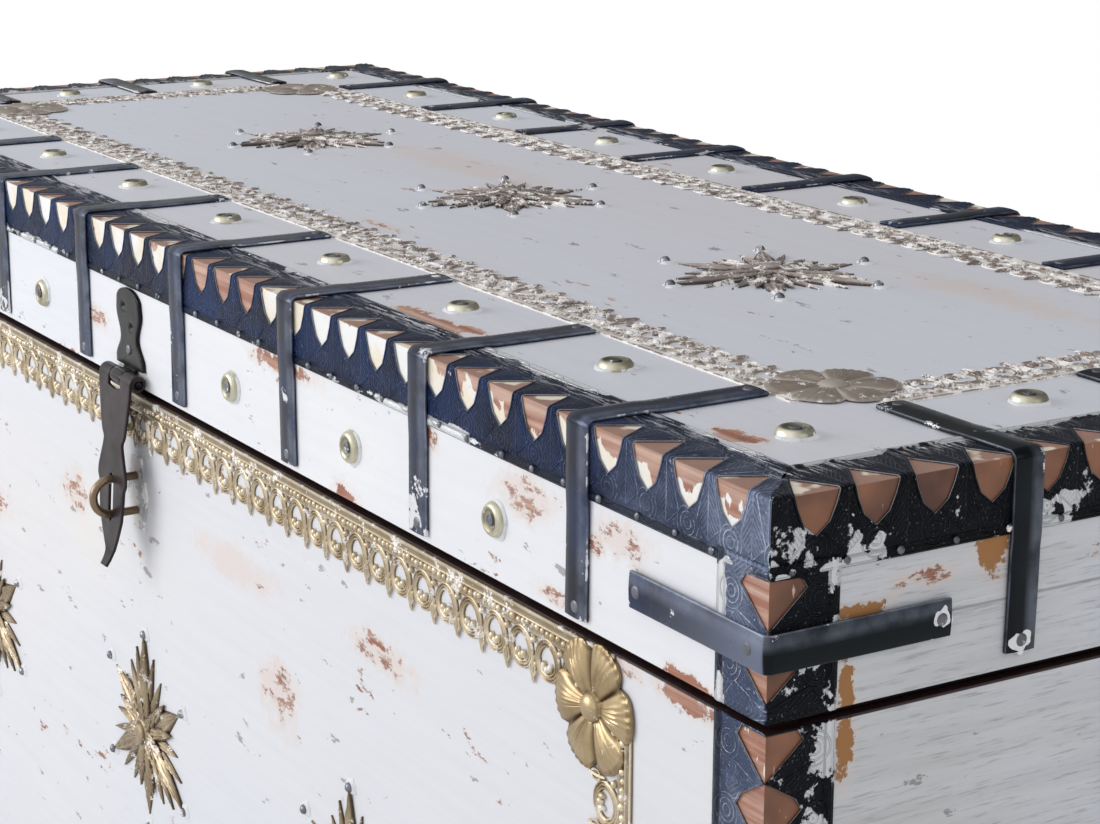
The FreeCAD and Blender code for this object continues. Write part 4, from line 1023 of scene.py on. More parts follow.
# Dab of paint: rings whose radius is pushed in and out by slow waves, thin at the rim
def dabShape(radius, spread, height):
    turn = np.arange(24) * 2 * math.pi / 24
    waves = ((1, 0.45, 0.4), (2, 0.4, 1.9), (3, 0.3, 4.0), (5, 0.22, 2.2), (7, 0.16, 5.1))
    push = sum(size * np.sin(times * turn + phase) for times, size, phase in waves)
    rows = [(1.0, -0.3), (1.0, 0.12 * height), (0.8, 0.45 * height), (0.4, 0.85 * height), (0.0, height)]
    rings = []
    for share, out in rows:
        far = radius + spread * share * (1 + push)
        rings.append(np.stack([far * np.cos(turn), far * np.sin(turn), np.full(24, out)], axis=-1))
    return skin(np.array(rings))


nailDab = dabShape(2.9, 2.6, 0.75)
makePiece("strapNails", [copies(nailHead, nailSpots)], "lid", nailSteel, ["strap_nails"],
          sharp=60)

# Brackets bent round the upright corners, in millimetres from the corner; bodyShares are shares of the
# body's height
bracket = {
    "width": 17.4,
    "front": 99.6,
    "end": 95.5,
    "lift": 1.0,
    "bend": 1.2,
    "frontNails": (94.4, 10.0),
    "endNail": 90.3,
    "nailOut": 2.9,
    "lidDown": 66.7,
    "bodyShares": (0.2, 0.8),
}


# A bracket bent round an upright corner, its two arms flat on the faces
def bracketShape(signX, signY, x, y, middle):
    distance = bentRun(bracket["front"], bracket["end"], bracket["bend"], 14)
    inner, outer = folded(distance, bracket["lift"], bracket["bend"])
    route = np.stack([signX * (x - inner), caseY + signY * (y + outer), middle + 0 * inner], axis=-1)
    return ironBar(route, (0, 0, -signX * signY), bracket["width"], np.linspace(0.15, 1, len(distance)))


def bracketNails(signX, signY, x, y, middle):
    out = bracket["nailOut"]
    frontAxes = np.array([[1, 0, 0], [0, 0, -signY], [0, signY, 0]], float)
    endAxes = np.array([[0, 1, 0], [0, 0, signX], [signX, 0, 0]], float)
    spots = [(np.array([signX * (x - away), caseY + signY * (y + out), middle]), frontAxes)
             for away in bracket["frontNails"]]
    end = np.array([signX * (x + out), caseY + signY * (y - bracket["endNail"]), middle])
    return spots + [(end, endAxes)]


bracketSpots = {
    "lid": [(*signs, lidX, lidY, lidTop - bracket["lidDown"]) for signs in cornerSigns],
    "body": [(*signs, bodyX, bodyY, bodyFoot + share * (bodyTop - bodyFoot)) for signs in cornerSigns
             for share in bracket["bodyShares"]],
}
for part, spots in bracketSpots.items():
    makePiece(part + "Brackets", [bracketShape(*spot) for spot in spots], bodies[part],
              bracketIron, [part + "_corner_brackets"], sharp=50)
cornerNails = {part: [nail for spot in spots for nail in bracketNails(*spot)]
               for part, spots in bracketSpots.items()}
for part, node in (("lid", ["lid_bracket_nails"]), ("body", [])):
    makePiece(part + "BracketNails", [copies(nailHead, cornerNails[part])], bodies[part],
              nailSteel, node, sharp=60)
painted = [spot for spot in nailSpots
           if spot[0][2] < lidTop and (abs(spot[0][0]) > lidX or random.uniform() < 0.45)]
for part, spots in (("lid", painted), ("body", [])):
    dabs = copies(nailDab, spots + cornerNails[part][2::3])
    makePiece(part + "NailDabs", [dabs], bodies[part], paintDab)

# Small nails along the lower rims of the strips
rimNail = {"spacing": 29.0, "ends": 9.0, "down": 32.4, "out": 1.2}
rimHead = lathe([(1.9, -0.3), (1.8, 0.4), (1.0, 0.9)], 8)
rimSpots = []
for side, half in (("front", lidX), ("back", lidX), ("right", lidY), ("left", lidY)):
    count = int(2 * half / rimNail["spacing"])
    for place in evenRow(count, 2 * (half - rimNail["ends"]) / (count - 1)):
        rimSpots.append(placeOn(lidFaces[side], place + random.uniform(-2, 2),
                                random.uniform(-0.5, 0.5) - rimNail["down"], 0, rimNail["out"],
                                random.uniform(0.85, 1.15)))
makePiece("rimNails", [copies(rimHead, rimSpots)], "lid", nailSteel, sharp=60)

# Brass studs: a low domed ring round a dished middle that holds a nail; marks are the hollows of the ring's
# rows
stud = {
    "rowInset": 68.0,
    "endInset": 75.0,
    "sideHalf": 62.0,
    "frontDown": 67.0,
    "clearOfHasp": 80.0,
    "profile": [(9.3, 0.0), (9.5, 0.4), (9.3, 1.3), (8.9, 2.5), (8.2, 3.6), (7.3, 4.3),
                (6.5, 4.5), (5.9, 4.3), (5.4, 3.9), (4.1, 3.6), (3.3, 3.5), (0.6, 3.5)],
    "marks": [0, 0, 0, 0, 0.1, 0.45, 0.6, 0.75, 0.9, 0.8, 0.7, 0.6],
}
studHollow = {"hollow": np.append(np.repeat(stud["marks"], 32), [0, 0.6])}
studRing = (*lathe(stud["profile"], 32), studHollow)
studNail = lathe([(3.0, 3.3), (3.1, 4.0), (2.6, 4.4), (2.1, 4.2), (1.6, 4.2), (0.5, 4.4)], 14)
between = evenRow(strap["long"]["count"] - 1, strap["long"]["pitch"])
row = [*between, stud["endInset"] - lidX, lidX - stud["endInset"]]
topStuds = [placeOn(lidFaces["top"], x, sign * (lidY - stud["rowInset"]), random.uniform(0, 6))
            for x in row for sign in (-1, 1)]
topStuds += [placeOn(lidFaces["top"], sign * (lidX - stud["rowInset"]), y, random.uniform(0, 6))
             for sign in (-1, 1) for y in (-stud["sideHalf"], stud["sideHalf"])]
frontStuds = [placeOn(lidFaces["front"], x, -stud["frontDown"], random.uniform(0, 6))
              for x in between if abs(x) > stud["clearOfHasp"]]
print("studs")
makePiece("topStuds", [copies(studRing, topStuds)], "lid", studBrass, ["lid_top_studs"])
makePiece("frontStuds", [copies(studRing, frontStuds)], "lid", studBrass, ["lid_front_studs"])
makePiece("studNails", [copies(studNail, topStuds + frontStuds)], "lid", nailSteel)
studDab = dabShape(9.0, 1.5, 1.5)
makePiece("studDabs", [copies(studDab, topStuds + frontStuds)], "lid", paintDab)

# Brass border: a ribbed band with uneven beads, and openwork rings with buds, fingers and small loops;
# inset and drop are from the lid's sides and the body's ends, press is how flat it lies
border = {
    "pitch": 24.8,
    "width": 36.5,
    "bandOutline": [(0, 0), (12, 0), (12, 0.6), (11, 1.1), (9.6, 0.8), (6.2, 0.7), (5.4, 1.2), (4.4, 0.8),
                    (2.4, 0.8), (1.3, 1.5), (0.2, 1.3), (0, 0.8)],
    "ringAcross": 9.3,
    "ringTall": 8.9,
    "ringMiddle": 20.9,
    "ringHalf": 2.45,
    "ringLines": 3,
    "ringHigh": 1.5,
    "ringBuds": ((-2.9, 3.3), (0.1, 4.9), (3.0, 3.3)),
    "betweenBud": 13.8,
    "fingerFrom": 22.0,
    "fingerLong": 14.2,
    "loopMiddle": 28.5,
    "loopHalf": (2.5, 3.9),
    "beadSpacing": 4.6,
    "beadRadius": 2.0,
    "beadFrom": 7.6,
    "topShort": 28.0,
    "topInset": (95, 101),
    "topPress": 0.7,
    "frontShort": 15.0,
    "frontInset": 101,
    "frontDrop": 1,
    "frontFoot": 14,
}


# One cell, drawn across and down from the band: a drop-shaped ring of three wires, three buds in it, and a
# finger with a loop and a bud beside it
def borderCell():
    turn = np.arange(20) * 2 * math.pi / 20
    middle = border["ringMiddle"]
    narrow = 1 - 0.12 * np.cos(turn) * (np.cos(turn) > 0)
    ring = np.stack([border["ringAcross"] * np.sin(turn) * narrow, middle - border["ringTall"] * np.cos(turn),
                     np.zeros(20)], axis=-1)
    share = np.linspace(0, 1, 4 * border["ringLines"] - 1)
    waves = np.sin(math.pi * border["ringLines"] * share) ** 2
    wires = 0.35 + border["ringHigh"] * waves * (0.75 + 0.25 * share)
    outline = np.column_stack([wires, border["ringHalf"] * (1 - 2 * share)])
    outline = np.vstack([outline, [(0, -border["ringHalf"]), (0, border["ringHalf"])]])
    shapes = [hollowed(bar(ring, (0, 0, 1), outline, closed=True), 0.3, 1.5)]
    bud = lathe([(2.0, 0.0), (2.1, 0.8), (1.5, 1.9), (0.5, 2.4)], 6)
    for x, y in border["ringBuds"]:
        shapes.append((bud[0] * [0.85, 1.3, 1] + [x, middle + y, 0.2], bud[1]))
    half = border["pitch"] / 2
    down = np.linspace(0, 1, 7)
    finger = np.stack([np.full(7, half), border["fingerFrom"] + border["fingerLong"] * down,
                       0.8 + np.sin(down * math.pi)], axis=-1)
    shapes.append(bar(finger, (1, 0, 0), roundOutline(0.8, 5), size=[0.9, 1.2, 1.3, 1.2, 1.2, 1.4, 0.6]))
    turn = np.arange(10) * 2 * math.pi / 10
    wide, tall = border["loopHalf"]
    loopY = border["loopMiddle"] - tall * np.cos(turn)
    loop = np.stack([half + wide * np.sin(turn), loopY, np.full(10, 1.5)], axis=-1)
    shapes.append(bar(loop, (0, 0, 1), roundOutline(0.7, 4), closed=True))
    shapes.append((bud[0] * [1.1, 0.9, 1.1] + [half, border["betweenBud"], 0.2], bud[1]))
    return gather(shapes)


cell = borderCell()
bead = lathe([(border["beadRadius"] * wide, out) for wide, out in ((1, 0), (0.9, 0.9), (0.45, 1.6))], 6)
bandOutline = np.array(border["bandOutline"], float)


# A frame of four lengths round a middle, pendants inwards
def borderFrame(face, middleUp, width, height, short, press=1.0):
    bands, cells, beads = [], [], []
    flat = np.array([1, 1, press])
    tall = height - 2 * border["width"]
    for across, up, turn, length, corner in (
        (0, -height / 2, 0.0, width, border["width"]), (0, height / 2, math.pi, width, border["width"]),
        (-width / 2, 0, -math.pi / 2, tall, 0), (width / 2, 0, math.pi / 2, tall, 0),
    ):
        start, axes = placeOn(face, across, middleUp + up, turn)
        reach = length / 2 - (short if corner else 0)
        rings = np.stack([np.column_stack([np.full(len(bandOutline), end), bandOutline * flat[1:]])
                          for end in (-reach, reach)])
        bands.append(copies(hollowed(skin(rings), 0.6 * press, 1.5 * press), [(start, axes)]))
        toothed = length - 2 * corner
        count = max(round(toothed / border["pitch"]), 1)
        cells += [(start + place * axes[0], axes) for place in evenRow(count, toothed / count)]
        count = int(2 * reach / border["beadSpacing"])
        offsets = random.uniform(-0.7, 0.7, (count, 2))
        sizes = random.uniform(0.65, 1.2, count)
        for place, offset, size in zip(evenRow(count, border["beadSpacing"]), offsets, sizes):
            local = np.array([place + offset[0], border["beadFrom"] + offset[1], 0.4 * press])
            beads.append((start + local @ axes, axes * size))
    return bands + [copies((cell[0] * flat, *cell[1:]), cells), copies((bead[0] * flat, bead[1]), beads)]


print("brass")
insetX, insetY = border["topInset"]
topFrame = borderFrame(lidFaces["top"], 0, 2 * (lidX - insetX), 2 * (lidY - insetY), border["topShort"],
                       border["topPress"])
frontHigh, frontLow = bodyTop - border["frontDrop"], bodyFoot + border["frontFoot"]
frontFrame = borderFrame(bodyFaces["front"], (frontHigh + frontLow) / 2, 2 * (lidX - border["frontInset"]),
                         frontHigh - frontLow, border["frontShort"])
makePiece("topBorder", topFrame, "lid", topBrass, ["lid_border"], sharp=50)
makePiece("frontBorder", frontFrame, "chest", frontBrass, ["front_border"], sharp=50)

# Rosettes: insets are from the lid's ends and sides, the front ones' drops from the body's top and foot
rosette = {
    "radius": 33.0,
    "dome": 0.225,
    "lidInset": 136.0,
    "lidPress": 0.5,
    "lidBoss": 0.75,
    "frontInset": 132.5,
    "frontDrop": 31.0,
    "frontFoot": 44.0,
    "turn": 0.1,
    "out": 0.8,
}


# Rosette: radius scaled by a six-lobed outline, height from ribs, creases between petals and a domed middle
def rosetteShape(press, boss=0.0):
    share = np.concatenate([[0.02], np.linspace(0.06, 0.235, 8), np.linspace(0.265, 0.94, 18),
                            [0.965, 0.985, 1.0]])
    turn = np.arange(192) * 2 * math.pi / 192
    petal = np.abs((turn * 6 / (2 * math.pi) + 0.5) % 1 - 0.5) * 2
    part, lobe = np.meshgrid(share, petal, indexing="ij")
    far = part * rosette["radius"] * (1 - 0.2 * lobe ** 3.5 * np.clip((part - 0.3) / 0.5, 0, 1))
    out = np.clip((part - 0.24) / 0.76, 0, 1)
    swell = 2.8 * np.sin(out * math.pi) ** 0.7 * (1 - lobe ** 3) * (1 - 0.35 * out)
    ribs = (ridge(lobe, 0.0, 0.07) + ridge(lobe, 0.2, 0.06) + 0.7 * ridge(lobe, 0.4, 0.06)) * (1 - 0.75 * out)
    ribs = 1.2 * ribs * np.sin(np.clip(out, 0.02, 1) * math.pi) ** 0.5
    crease = ridge(lobe, 1.0, 0.12) * (out > 0)
    crimp = 0.35 * np.cos(turn * 48) * np.clip((part - 0.86) / 0.06, 0, 1)
    dome = 5.2 * np.sqrt(np.clip(1 - (part / rosette["dome"]) ** 2, 0, 1)) + 1.2
    height = np.where(part < rosette["dome"], dome, 1.3 + swell + ribs - crease + crimp)
    height = height + 0.8 * ridge(part, 0.25, 0.016)
    height = np.where(part > 0.985, np.minimum(height, 1.4), height)
    between = np.clip(1 - ribs / 0.7, 0, 1) * ridge(lobe, 0.2, 0.32) * (1 - 0.7 * out)
    sunk = 0.7 * between + ridge(lobe, 1.0, 0.16) + 0.4 * (part > 0.93)
    valley = np.where(part < 0.23, np.maximum(ridge(part, 0.23, 0.03), boss), sunk)
    rings = np.stack([far * np.cos(turn), far * np.sin(turn), height * press], axis=-1)[::-1]
    foot = rings[:1] * [1, 1, 0]
    hollow = np.clip(np.concatenate([valley[-1:], valley[::-1]]), 0, 1).ravel()
    return (*skin(np.concatenate([foot, rings])), {"hollow": np.append(hollow, [1.0, 0.0])})


lidInset, frontX = rosette["lidInset"], lidX - rosette["frontInset"]
frontHeights = (bodyTop - rosette["frontDrop"], bodyFoot + rosette["frontFoot"])
lidRosettes = [placeOn(lidFaces["top"], signX * (lidX - lidInset), signY * (lidY - lidInset),
                       rosette["turn"] * signX, rosette["out"]) for signX in (-1, 1) for signY in (-1, 1)]
frontRosettes = [placeOn(bodyFaces["front"], signX * frontX, z, rosette["turn"] * signX, rosette["out"])
                 for signX in (-1, 1) for z in frontHeights]
lidRosette = rosetteShape(rosette["lidPress"], rosette["lidBoss"])
makePiece("topRosettes", [copies(lidRosette, lidRosettes)], "lid", lidRosetteBrass,
          ["lid_rosettes"])
makePiece("frontRosettes", [copies(rosetteShape(1.0), frontRosettes)], "chest", rosetteBrass,
          ["front_rosettes"])


# Leaf: half-width swells and narrows to a point; height is a midrib and two side ribs that run along it, with
# fine slanting veins, on a crown that falls to thin edges
def leaf(start, length, half, lift, rise, veinCount, swell=0.75):
    along = np.linspace(0.0, 1.0, 18)[:, None]
    wide = half * np.clip(np.sin(math.pi * along ** swell), 0.03, 1) ** 0.85 * (1 - 0.25 * along)
    across = np.linspace(-1, 1, 15)
    side = np.abs(across)
    profile = 0.45 * (1 - side ** 1.5) + 0.5 * ridge(side, 0.0, 0.13) + 0.45 * ridge(side, 0.55, 0.16)
    crown = profile * np.sin(math.pi * np.clip(along, 0.06, 0.97)) ** 0.6
    veins = 0.14 * np.cos(2 * math.pi * (along * veinCount + side * 1.2)) * (side < 0.95)
    x = start + (length - start) * along
    top = np.stack([x * np.ones(15), wide * across, lift + 0.35 + rise * (crown + veins * 0.8)], axis=-1)
    foot = np.stack([x * [1, 1], wide * [1, -1], np.full((18, 2), max(lift - 0.6, 0.0))], axis=-1)
    valley = np.clip(1.15 - profile / 0.6 - veins * 1.5, 0, 1)
    hollow = np.concatenate([valley, np.ones((18, 2))], axis=1).ravel()
    return (*skin(np.concatenate([top, foot], axis=1)), {"hollow": np.append(hollow, [1.0, 1.0])})


# Stars: the rows of starLeaves are a leaf's sizes, its angles from the first spear
star = {
    "count": 3,
    "pitch": 295.0,
    "lidShiftX": 16.0,
    "lidShiftY": 7.0,
    "lidPress": 0.8,
    "frontShare": 0.51,
    "nailRadius": 68.0,
    "boss": [(10.5, 2.0), (10.4, 4.2), (9.2, 5.6), (7.6, 5.7), (7.0, 6.2), (5.4, 7.4), (2.8, 8.2),
             (0.5, 8.4)],
    "bossMarks": [1, 0.6, 0.2, 0.9, 0.9, 0.2, 0.0, 0.0],
}
spears = np.array([0, 120, 240.0])
starLeaves = (
    ((8, 66, 7.6, 1.2, 2.9, 12), spears),
    ((8, 59, 11.0, 0.0, 2.6, 8, 0.62), spears + 60),
    ((10, 57, 3.9, 0.6, 2.2, 9), np.append(spears - 14, spears + 14)),
    ((10, 49, 4.8, 0.3, 2.1, 9), np.append(spears - 30, spears + 30)),
    ((8, 43, 5.4, 1.6, 2.1, 7), np.append(spears + 46, spears + 74)),
    ((5, 31, 5.8, 2.6, 1.9, 5), np.arange(12) * 30 + 15),
    ((4, 21, 5.6, 3.8, 1.7, 4), np.arange(8) * 45),
)
level = plane((0, 0, 0), (1, 0, 0), (0, 1, 0))


# Star of three spears and three petals, with thinner leaves between them and two rounds of short ones on top
def starShape(firstSpear, press=1.0):
    shapes = [copies(leaf(*sizes), [placeOn(level, 0, 0, turn) for turn in np.radians(firstSpear + angles)])
              for sizes, angles in starLeaves]
    shapes.append((*lathe(star["boss"], 30), {"hollow": np.append(np.repeat(star["bossMarks"], 30), [1, 0])}))
    points, faces, marks = gather(shapes)
    return points * [1, 1, press], faces, marks


ballNail = lathe([(2.9, 0.0), (3.1, 1.0), (2.8, 2.3), (1.9, 3.4), (0.7, 3.9)], 14)
starRow = evenRow(star["count"], star["pitch"])
topStars = [placeOn(lidFaces["top"], x + star["lidShiftX"], star["lidShiftY"], random.uniform(-0.04, 0.04))
            for x in starRow]
starZ = bodyFoot + star["frontShare"] * (bodyTop - bodyFoot)
frontStars = [placeOn(bodyFaces["front"], x, starZ, random.uniform(-0.04, 0.04)) for x in starRow]
makePiece("topStars", [copies(starShape(-90, star["lidPress"]), topStars)], "lid",
          lidStarBrass, ["lid_stars"], sharp=55)
makePiece("frontStars", [copies(starShape(90), frontStars)], "chest", starBrass,
          ["front_stars"], sharp=55)
ballTurns = np.radians(30 + np.arange(6) * 60)
for face, body, stars in (("top", "lid", topStars), ("front", "chest", frontStars)):
    spots = [(start + star["nailRadius"] * np.array([math.cos(turn), math.sin(turn), 0]) @ axes, axes)
             for start, axes in stars for turn in ballTurns]
    makePiece(face + "StarNails", [copies(ballNail, spots)], body, ballSteel)
    makePiece(face + "StarDabs", [copies(dabShape(2.6, 2.6, 1.5), spots)], body, paintDab)

# Hasp: heights and depths are from its axis; outlines are heights and half-widths
hasp = {
    "stand": 7.0,
    "rise": 5.0,
    "plateHeights": [6.5, 10, 25, 42, 48],
    "plateHalf": [21.5, 21.5, 13.0, 19.0, 18.2],
    "plateRound": 9.0,
    "plateThick": 2.5,
    "plateHoles": ((-6.0, 45.0), (5.5, 33.0)),
    "holeDeep": 1.9,
    "nailAt": (0.5, 17.5),
    "barrelRadius": 4.6,
    "knuckleHalf": 9.4,
    "tongueWidth": 18.0,
    "tongueThick": 2.3,
    "leafDrops": [0, 8, 30, 36, 40, 45, 60, 66, 70, 74, 90, 104, 114, 122],
    "leafHalf": [25, 24.6, 19.5, 17.8, 14.2, 15.6, 21.8, 22.6, 19.4, 19.4, 17.4, 11.0, 5.4, 4.2],
    "leafThick": 1.9,
    "rollTurns": 1.35,
    "rollRadius": (2.95, 5.05),
    "gapEnd": 6.4,
    "slotHalf": 3.3,
    "slotMiddle": 77.0,
    "slotReach": 15.6,
}
haspAxis = np.array([0.0, caseY - lidY - hasp["stand"], skirtLow + hasp["rise"]])
haspFace = plane(haspAxis, (1, 0, 0), (0, 0, 1))
haspPlace = [placeOn(haspFace, 0, 0)]


# Eased curve through keys: between two keys the value follows half a cosine wave
def eased(at, keys, values):
    keys, values = np.array(keys, float), np.array(values, float)
    index = np.clip(np.searchsorted(keys, at, side="right") - 1, 0, len(keys) - 2)
    part = np.clip((at - keys[index]) / (keys[index + 1] - keys[index]), 0, 1)
    return values[index] + (values[index + 1] - values[index]) * (0.5 - 0.5 * np.cos(math.pi * part))


# Fiddle-shaped plate: rounded slab rows whose width follows the outline, with dimples for its holes
def haspPlateShape():
    foot, shoulder, top = hasp["plateHeights"][0], hasp["plateHeights"][-1], hasp["plateRound"]
    height = np.append(np.linspace(foot, shoulder, 40),
                       shoulder + top * np.sin(np.linspace(0.1, math.pi / 2, 14)))
    half = eased(np.clip(height, foot, shoulder), hasp["plateHeights"], hasp["plateHalf"])
    rounding = np.sqrt(np.clip(1 - ((height - shoulder) / (top + 0.1)) ** 2, 0.0025, 1))
    half = np.where(height > shoulder, half * rounding, half)[:, None]
    height = height[:, None]
    across = np.concatenate([[-1, -0.97, -0.9], np.linspace(-0.8, 0.8, 19), [0.9, 0.97, 1]])
    back = -hasp["stand"]
    crown = hasp["plateThick"] - np.concatenate([[0.8, 0.25, 0.05], np.zeros(19), [0.05, 0.25, 0.8]])
    x = half * across
    out = back + crown + np.zeros(x.shape)
    for holeX, holeZ in hasp["plateHoles"]:
        out -= hasp["holeDeep"] * np.exp(-(np.hypot(x - holeX, height - holeZ) / 2.4) ** 4)
    face = np.stack([x, height + 0 * x, out], axis=-1)
    edge = np.stack([half * [1, -1], height * [1, 1], np.full((len(height), 2), back)], axis=-1)
    return skin(np.concatenate([face[:, ::-1], edge[:, ::-1]], axis=1))


spin = np.linspace(math.pi, -math.pi, 30)
knuckleRing = hasp["barrelRadius"] * np.stack([0 * spin, np.sin(spin), np.cos(spin)], axis=-1)
half = hasp["tongueThick"] / 2
tongueOut = hasp["stand"] - half - 0.1
tongue = np.vstack([[(0, 12, -tongueOut), (0, 6, -tongueOut)], knuckleRing[2:]])
slab = strapOutline(hasp["tongueWidth"], hasp["tongueThick"], 0.5) - [0, half]
plateShapes = [copies(shape, haspPlace) for shape in (haspPlateShape(), bar(tongue, (1, 0, 0), slab))]
makePiece("haspPlate", plateShapes, "lid", plateIron, ["hasp_plate"], sharp=45)
plateNail = placeOn(haspFace, *hasp["nailAt"], 0, hasp["plateThick"] - hasp["stand"] - 0.1)
makePiece("haspPlateNail", [copies(nailHead, [plateNail])], "lid", ballSteel, sharp=60)


# Leaf: one sheet from the middle of the roll, out round it as a spiral and down the front, split by the
# knuckle's gap and by the slot; its half-width follows the outline
def leafSheet():
    steps = 54
    turn = np.linspace(-hasp["rollTurns"] * 2 * math.pi, 0, steps)
    radius = np.linspace(*hasp["rollRadius"], steps)
    drop = np.linspace(1.2, hasp["leafDrops"][-1], 90)
    front = radius[-1] + 8.0 * np.clip(drop / 112, 0, 1) + 5.0 * np.clip((drop - 111) / 11, 0, 1) ** 1.5
    out = np.append(radius * np.cos(turn), front)[:, None]
    up = np.append(-radius * np.sin(turn), -drop)[:, None]
    down = np.append(np.zeros(steps), drop)
    half = np.interp(down, hasp["leafDrops"], hasp["leafHalf"])
    smooth = np.convolve(np.pad(half, 1, mode="edge"), [0.25, 0.5, 0.25], mode="valid")
    half = np.where(down > 0, smooth, half)
    fromSlot = np.abs((down - hasp["slotMiddle"]) / hasp["slotReach"])
    slot = hasp["slotHalf"] * np.sqrt(np.clip(1 - fromSlot ** 6, 0, 1))
    gap = np.where(down < hasp["gapEnd"], hasp["knuckleHalf"], slot)
    wide = gap[:, None] + (half - gap)[:, None] * np.linspace(0, 1, 9)
    quads = gridQuads(*wide.shape)
    shapes = []
    for way in (1, -1):
        local = np.stack([way * wide, up + 0 * wide, out + 0 * wide], axis=-1)
        shapes.append(copies((local.reshape(-1, 3), [quads[:, ::-way]]), haspPlace))
    return shapes


print("hasp")
leafPiece = makePiece("haspLeaf", leafSheet(), "hasp", haspIron, ["hasp_leaf"], merge=0.02,
                      thick=hasp["leafThick"], offset=0.0)
rounding = leafPiece.modifiers.new("rounding", "BEVEL")
rounding.width = 0.5 * mm
rounding.segments = 2
rounding.limit_method = "ANGLE"
rounding.angle_limit = math.radians(50)

# Staple: two straight legs and a half circle of round bar
staple = {"reach": 33.0, "half": 11.5, "thick": 2.75, "radius": 2.72}
stapleZ = haspAxis[2] - hasp["slotMiddle"]
turn = np.linspace(math.pi / 2, -math.pi / 2, 19)
middleY = caseY - (lidY + staple["reach"] - staple["thick"] - staple["half"])
legs = [(0, caseY - bodyY + 0.5, stapleZ + side * staple["half"]) for side in (1, -1)]
route = [legs[0], *[(0, middleY - staple["half"] * math.cos(a), stapleZ + staple["half"] * math.sin(a))
                    for a in turn], legs[1]]
stapleShape = bar(route, (1, 0, 0), roundOutline(staple["radius"], 14))
makePiece("staple", [stapleShape], "chest", stapleIron, ["staple"])

# Drop handles, in millimetres; the outline is half a bail, across and up from its eye's axis
bail = {
    "x": 687.5,
    "z": 342.64,
    "outline": [(-49, 0), (-68, 0), (-73.5, -3), (-71, -16), (-64, -50), (-60, -62), (-46, -62), (0, -61)],
    "radius": 3.6,
    "swell": 0.9,
}


# Corners cut off a line again and again, each new point a quarter of the way along
def smoothed(points, rounds):
    points = np.array(points, float)
    for _ in range(rounds):
        quarter = 0.75 * points[:-1] + 0.25 * points[1:]
        threeQuarters = 0.25 * points[:-1] + 0.75 * points[1:]
        between = np.stack([quarter, threeQuarters], axis=1).reshape(-1, 2)
        points = np.vstack([points[:1], between, points[-1:]])
    return points


# A forged bar, thicker along its grip, its ends turned in through the eyes
def bailShape(sign):
    outline = bail["outline"] + [(-y, up) for y, up in bail["outline"][-2::-1]]
    path = smoothed(outline, 3)
    route = np.column_stack([np.full(len(path), sign * bail["x"]), path + [caseY, bail["z"]]])
    size = bail["radius"] + bail["swell"] * ((np.abs(path[:, 0]) < 62) & (path[:, 1] < -30))
    size = np.convolve(np.pad(size, 3, mode="edge"), np.ones(7) / 7, mode="valid")
    return bar(route, (1, 0, 0), roundOutline(1.0, 14), size=size)


for side, sign in (("right", 1), ("left", -1)):
    makePiece(side + "Bail", [bailShape(sign)], side + "_handle", plainIron, [side + "_bail"])

# Floor, fading to white away from the chest
print("stage")
floorMesh = bpy.data.meshes.new("floor")
floorMesh.from_pydata([(-12, -12, 0), (12, -12, 0), (12, 12, 0), (-12, 12, 0)], [], [(0, 1, 2, 3)])
floor = bpy.data.objects.new("floor", floorMesh)
bpy.context.scene.collection.objects.link(floor)
floorFinish, place = newMaterial("floorFinish", (0.93, 0.93, 0.93, 1))
seen = addNode("ShaderNodeLightPath", {}, "Is Camera Ray", tree=floorFinish.node_tree)
fade = vectorMath("LENGTH", place, output="Value").fit(1.1, 2.4) * seen
feedSurface(floorFinish, {
    "Base Color": blend(fade, (0.9, 0.9, 0.9, 1), (0, 0, 0, 1)), "Emission Strength": fade,
    "Emission Color": (1, 1, 1, 1), "Roughness": 0.8, "Specular IOR Level": 0.0,
})
floorMesh.materials.append(floorFinish)

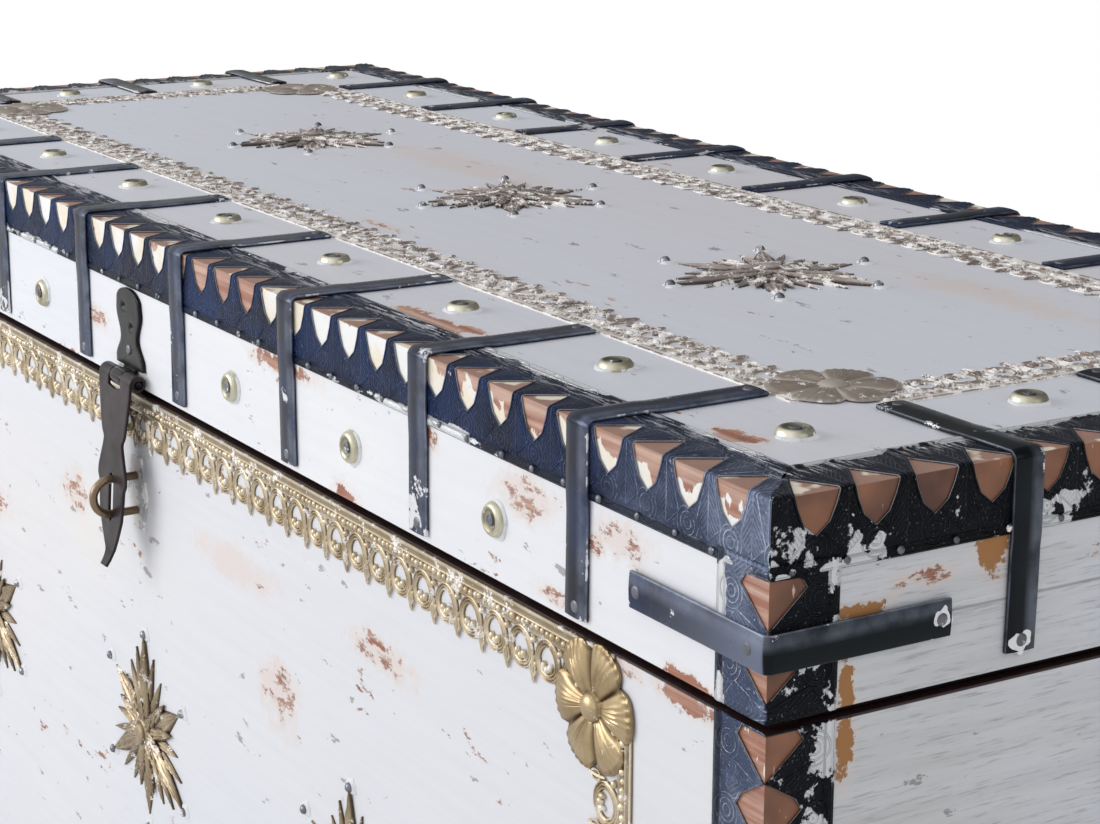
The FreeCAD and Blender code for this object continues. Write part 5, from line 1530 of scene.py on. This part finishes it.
# The surroundings: white to the camera, even to surfaces, and to reflections bright in front and dim behind
light = {"world": 0.62, "key": 62.0, "fill": 9.0, "bright": 1.15, "dim": 0.13}
world = bpy.data.worlds.new("studio")
bpy.context.scene.world = world
world.use_nodes = True
tree = world.node_tree
tree.nodes.clear()
way = addNode("ShaderNodeTexCoord", {}, "Generated", tree=tree)
facing = vectorMath("DOT_PRODUCT", way, (-0.25, -0.95, 0.2), output="Value")
strength = light["world"]
mirror = facing.fit(-0.3, 0.7, light["dim"], light["bright"])
for ray, value in (("Is Glossy Ray", mirror), ("Is Camera Ray", 1.0)):
    chosen = addNode("ShaderNodeLightPath", {}, ray, tree=tree)
    strength = addNode("ShaderNodeMix", {0: chosen, 2: strength, 3: value}, data_type="FLOAT")
background = addNode("ShaderNodeBackground", {"Color": (1, 1, 1, 1), "Strength": strength})
feed(tree.nodes.new("ShaderNodeOutputWorld").inputs["Surface"], background)


# An object that stands at a place, in metres, with its own right and up and its back to the way it looks
def stand(item, place, right, up, forward):
    bpy.context.scene.collection.objects.link(item)
    matrix = np.eye(4)
    matrix[:3] = np.column_stack([right, up, -forward, place])
    item.matrix_world = Matrix(matrix.tolist())


def areaLamp(name, place, aim, power, width, height):
    lamp = bpy.data.lights.new(name, "AREA")
    lamp.shape = "RECTANGLE"
    lamp.size, lamp.size_y = width, height
    lamp.energy = power
    forward = unit(np.array(aim, float) - place)
    side = unit(np.cross(forward, (0, 0, 1)))
    stand(bpy.data.objects.new(name, lamp), place, side, np.cross(side, forward), forward)


areaLamp("keyLamp", (-1.6, -3.0, 1.7), (0.2, 0, 0.5), light["key"], 2.6, 1.8)
areaLamp("fillLamp", (3.2, 0.6, 2.0), (0.3, 0, 0.5), light["fill"], 2.0, 2.0)

# The camera: its focal length is in the photo's pixels, of which there are 1100 across
view = {
    "focal": 2562.7,
    "across": 1100,
    "sensor": 36.0,
    "place": (1.483, -0.8621 + caseY * mm, 0.9253),
    "axes": ((0.5228, 0.8525, 0.0040), (-0.2192, 0.1299, 0.9670), (-0.8238, 0.5064, -0.2548)),
}
camera = bpy.data.cameras.new("camera")
camera.sensor_width = view["sensor"]
camera.lens = view["focal"] / view["across"] * view["sensor"]
camera.clip_start = 0.05
cameraObject = bpy.data.objects.new("camera", camera)
stand(cameraObject, view["place"], *[unit(np.array(axis)) for axis in view["axes"]])
bpy.context.scene.camera = cameraObject
bpy.context.scene.view_settings.view_transform = "Standard"

bpy.context.view_layer.update()
print("finished")
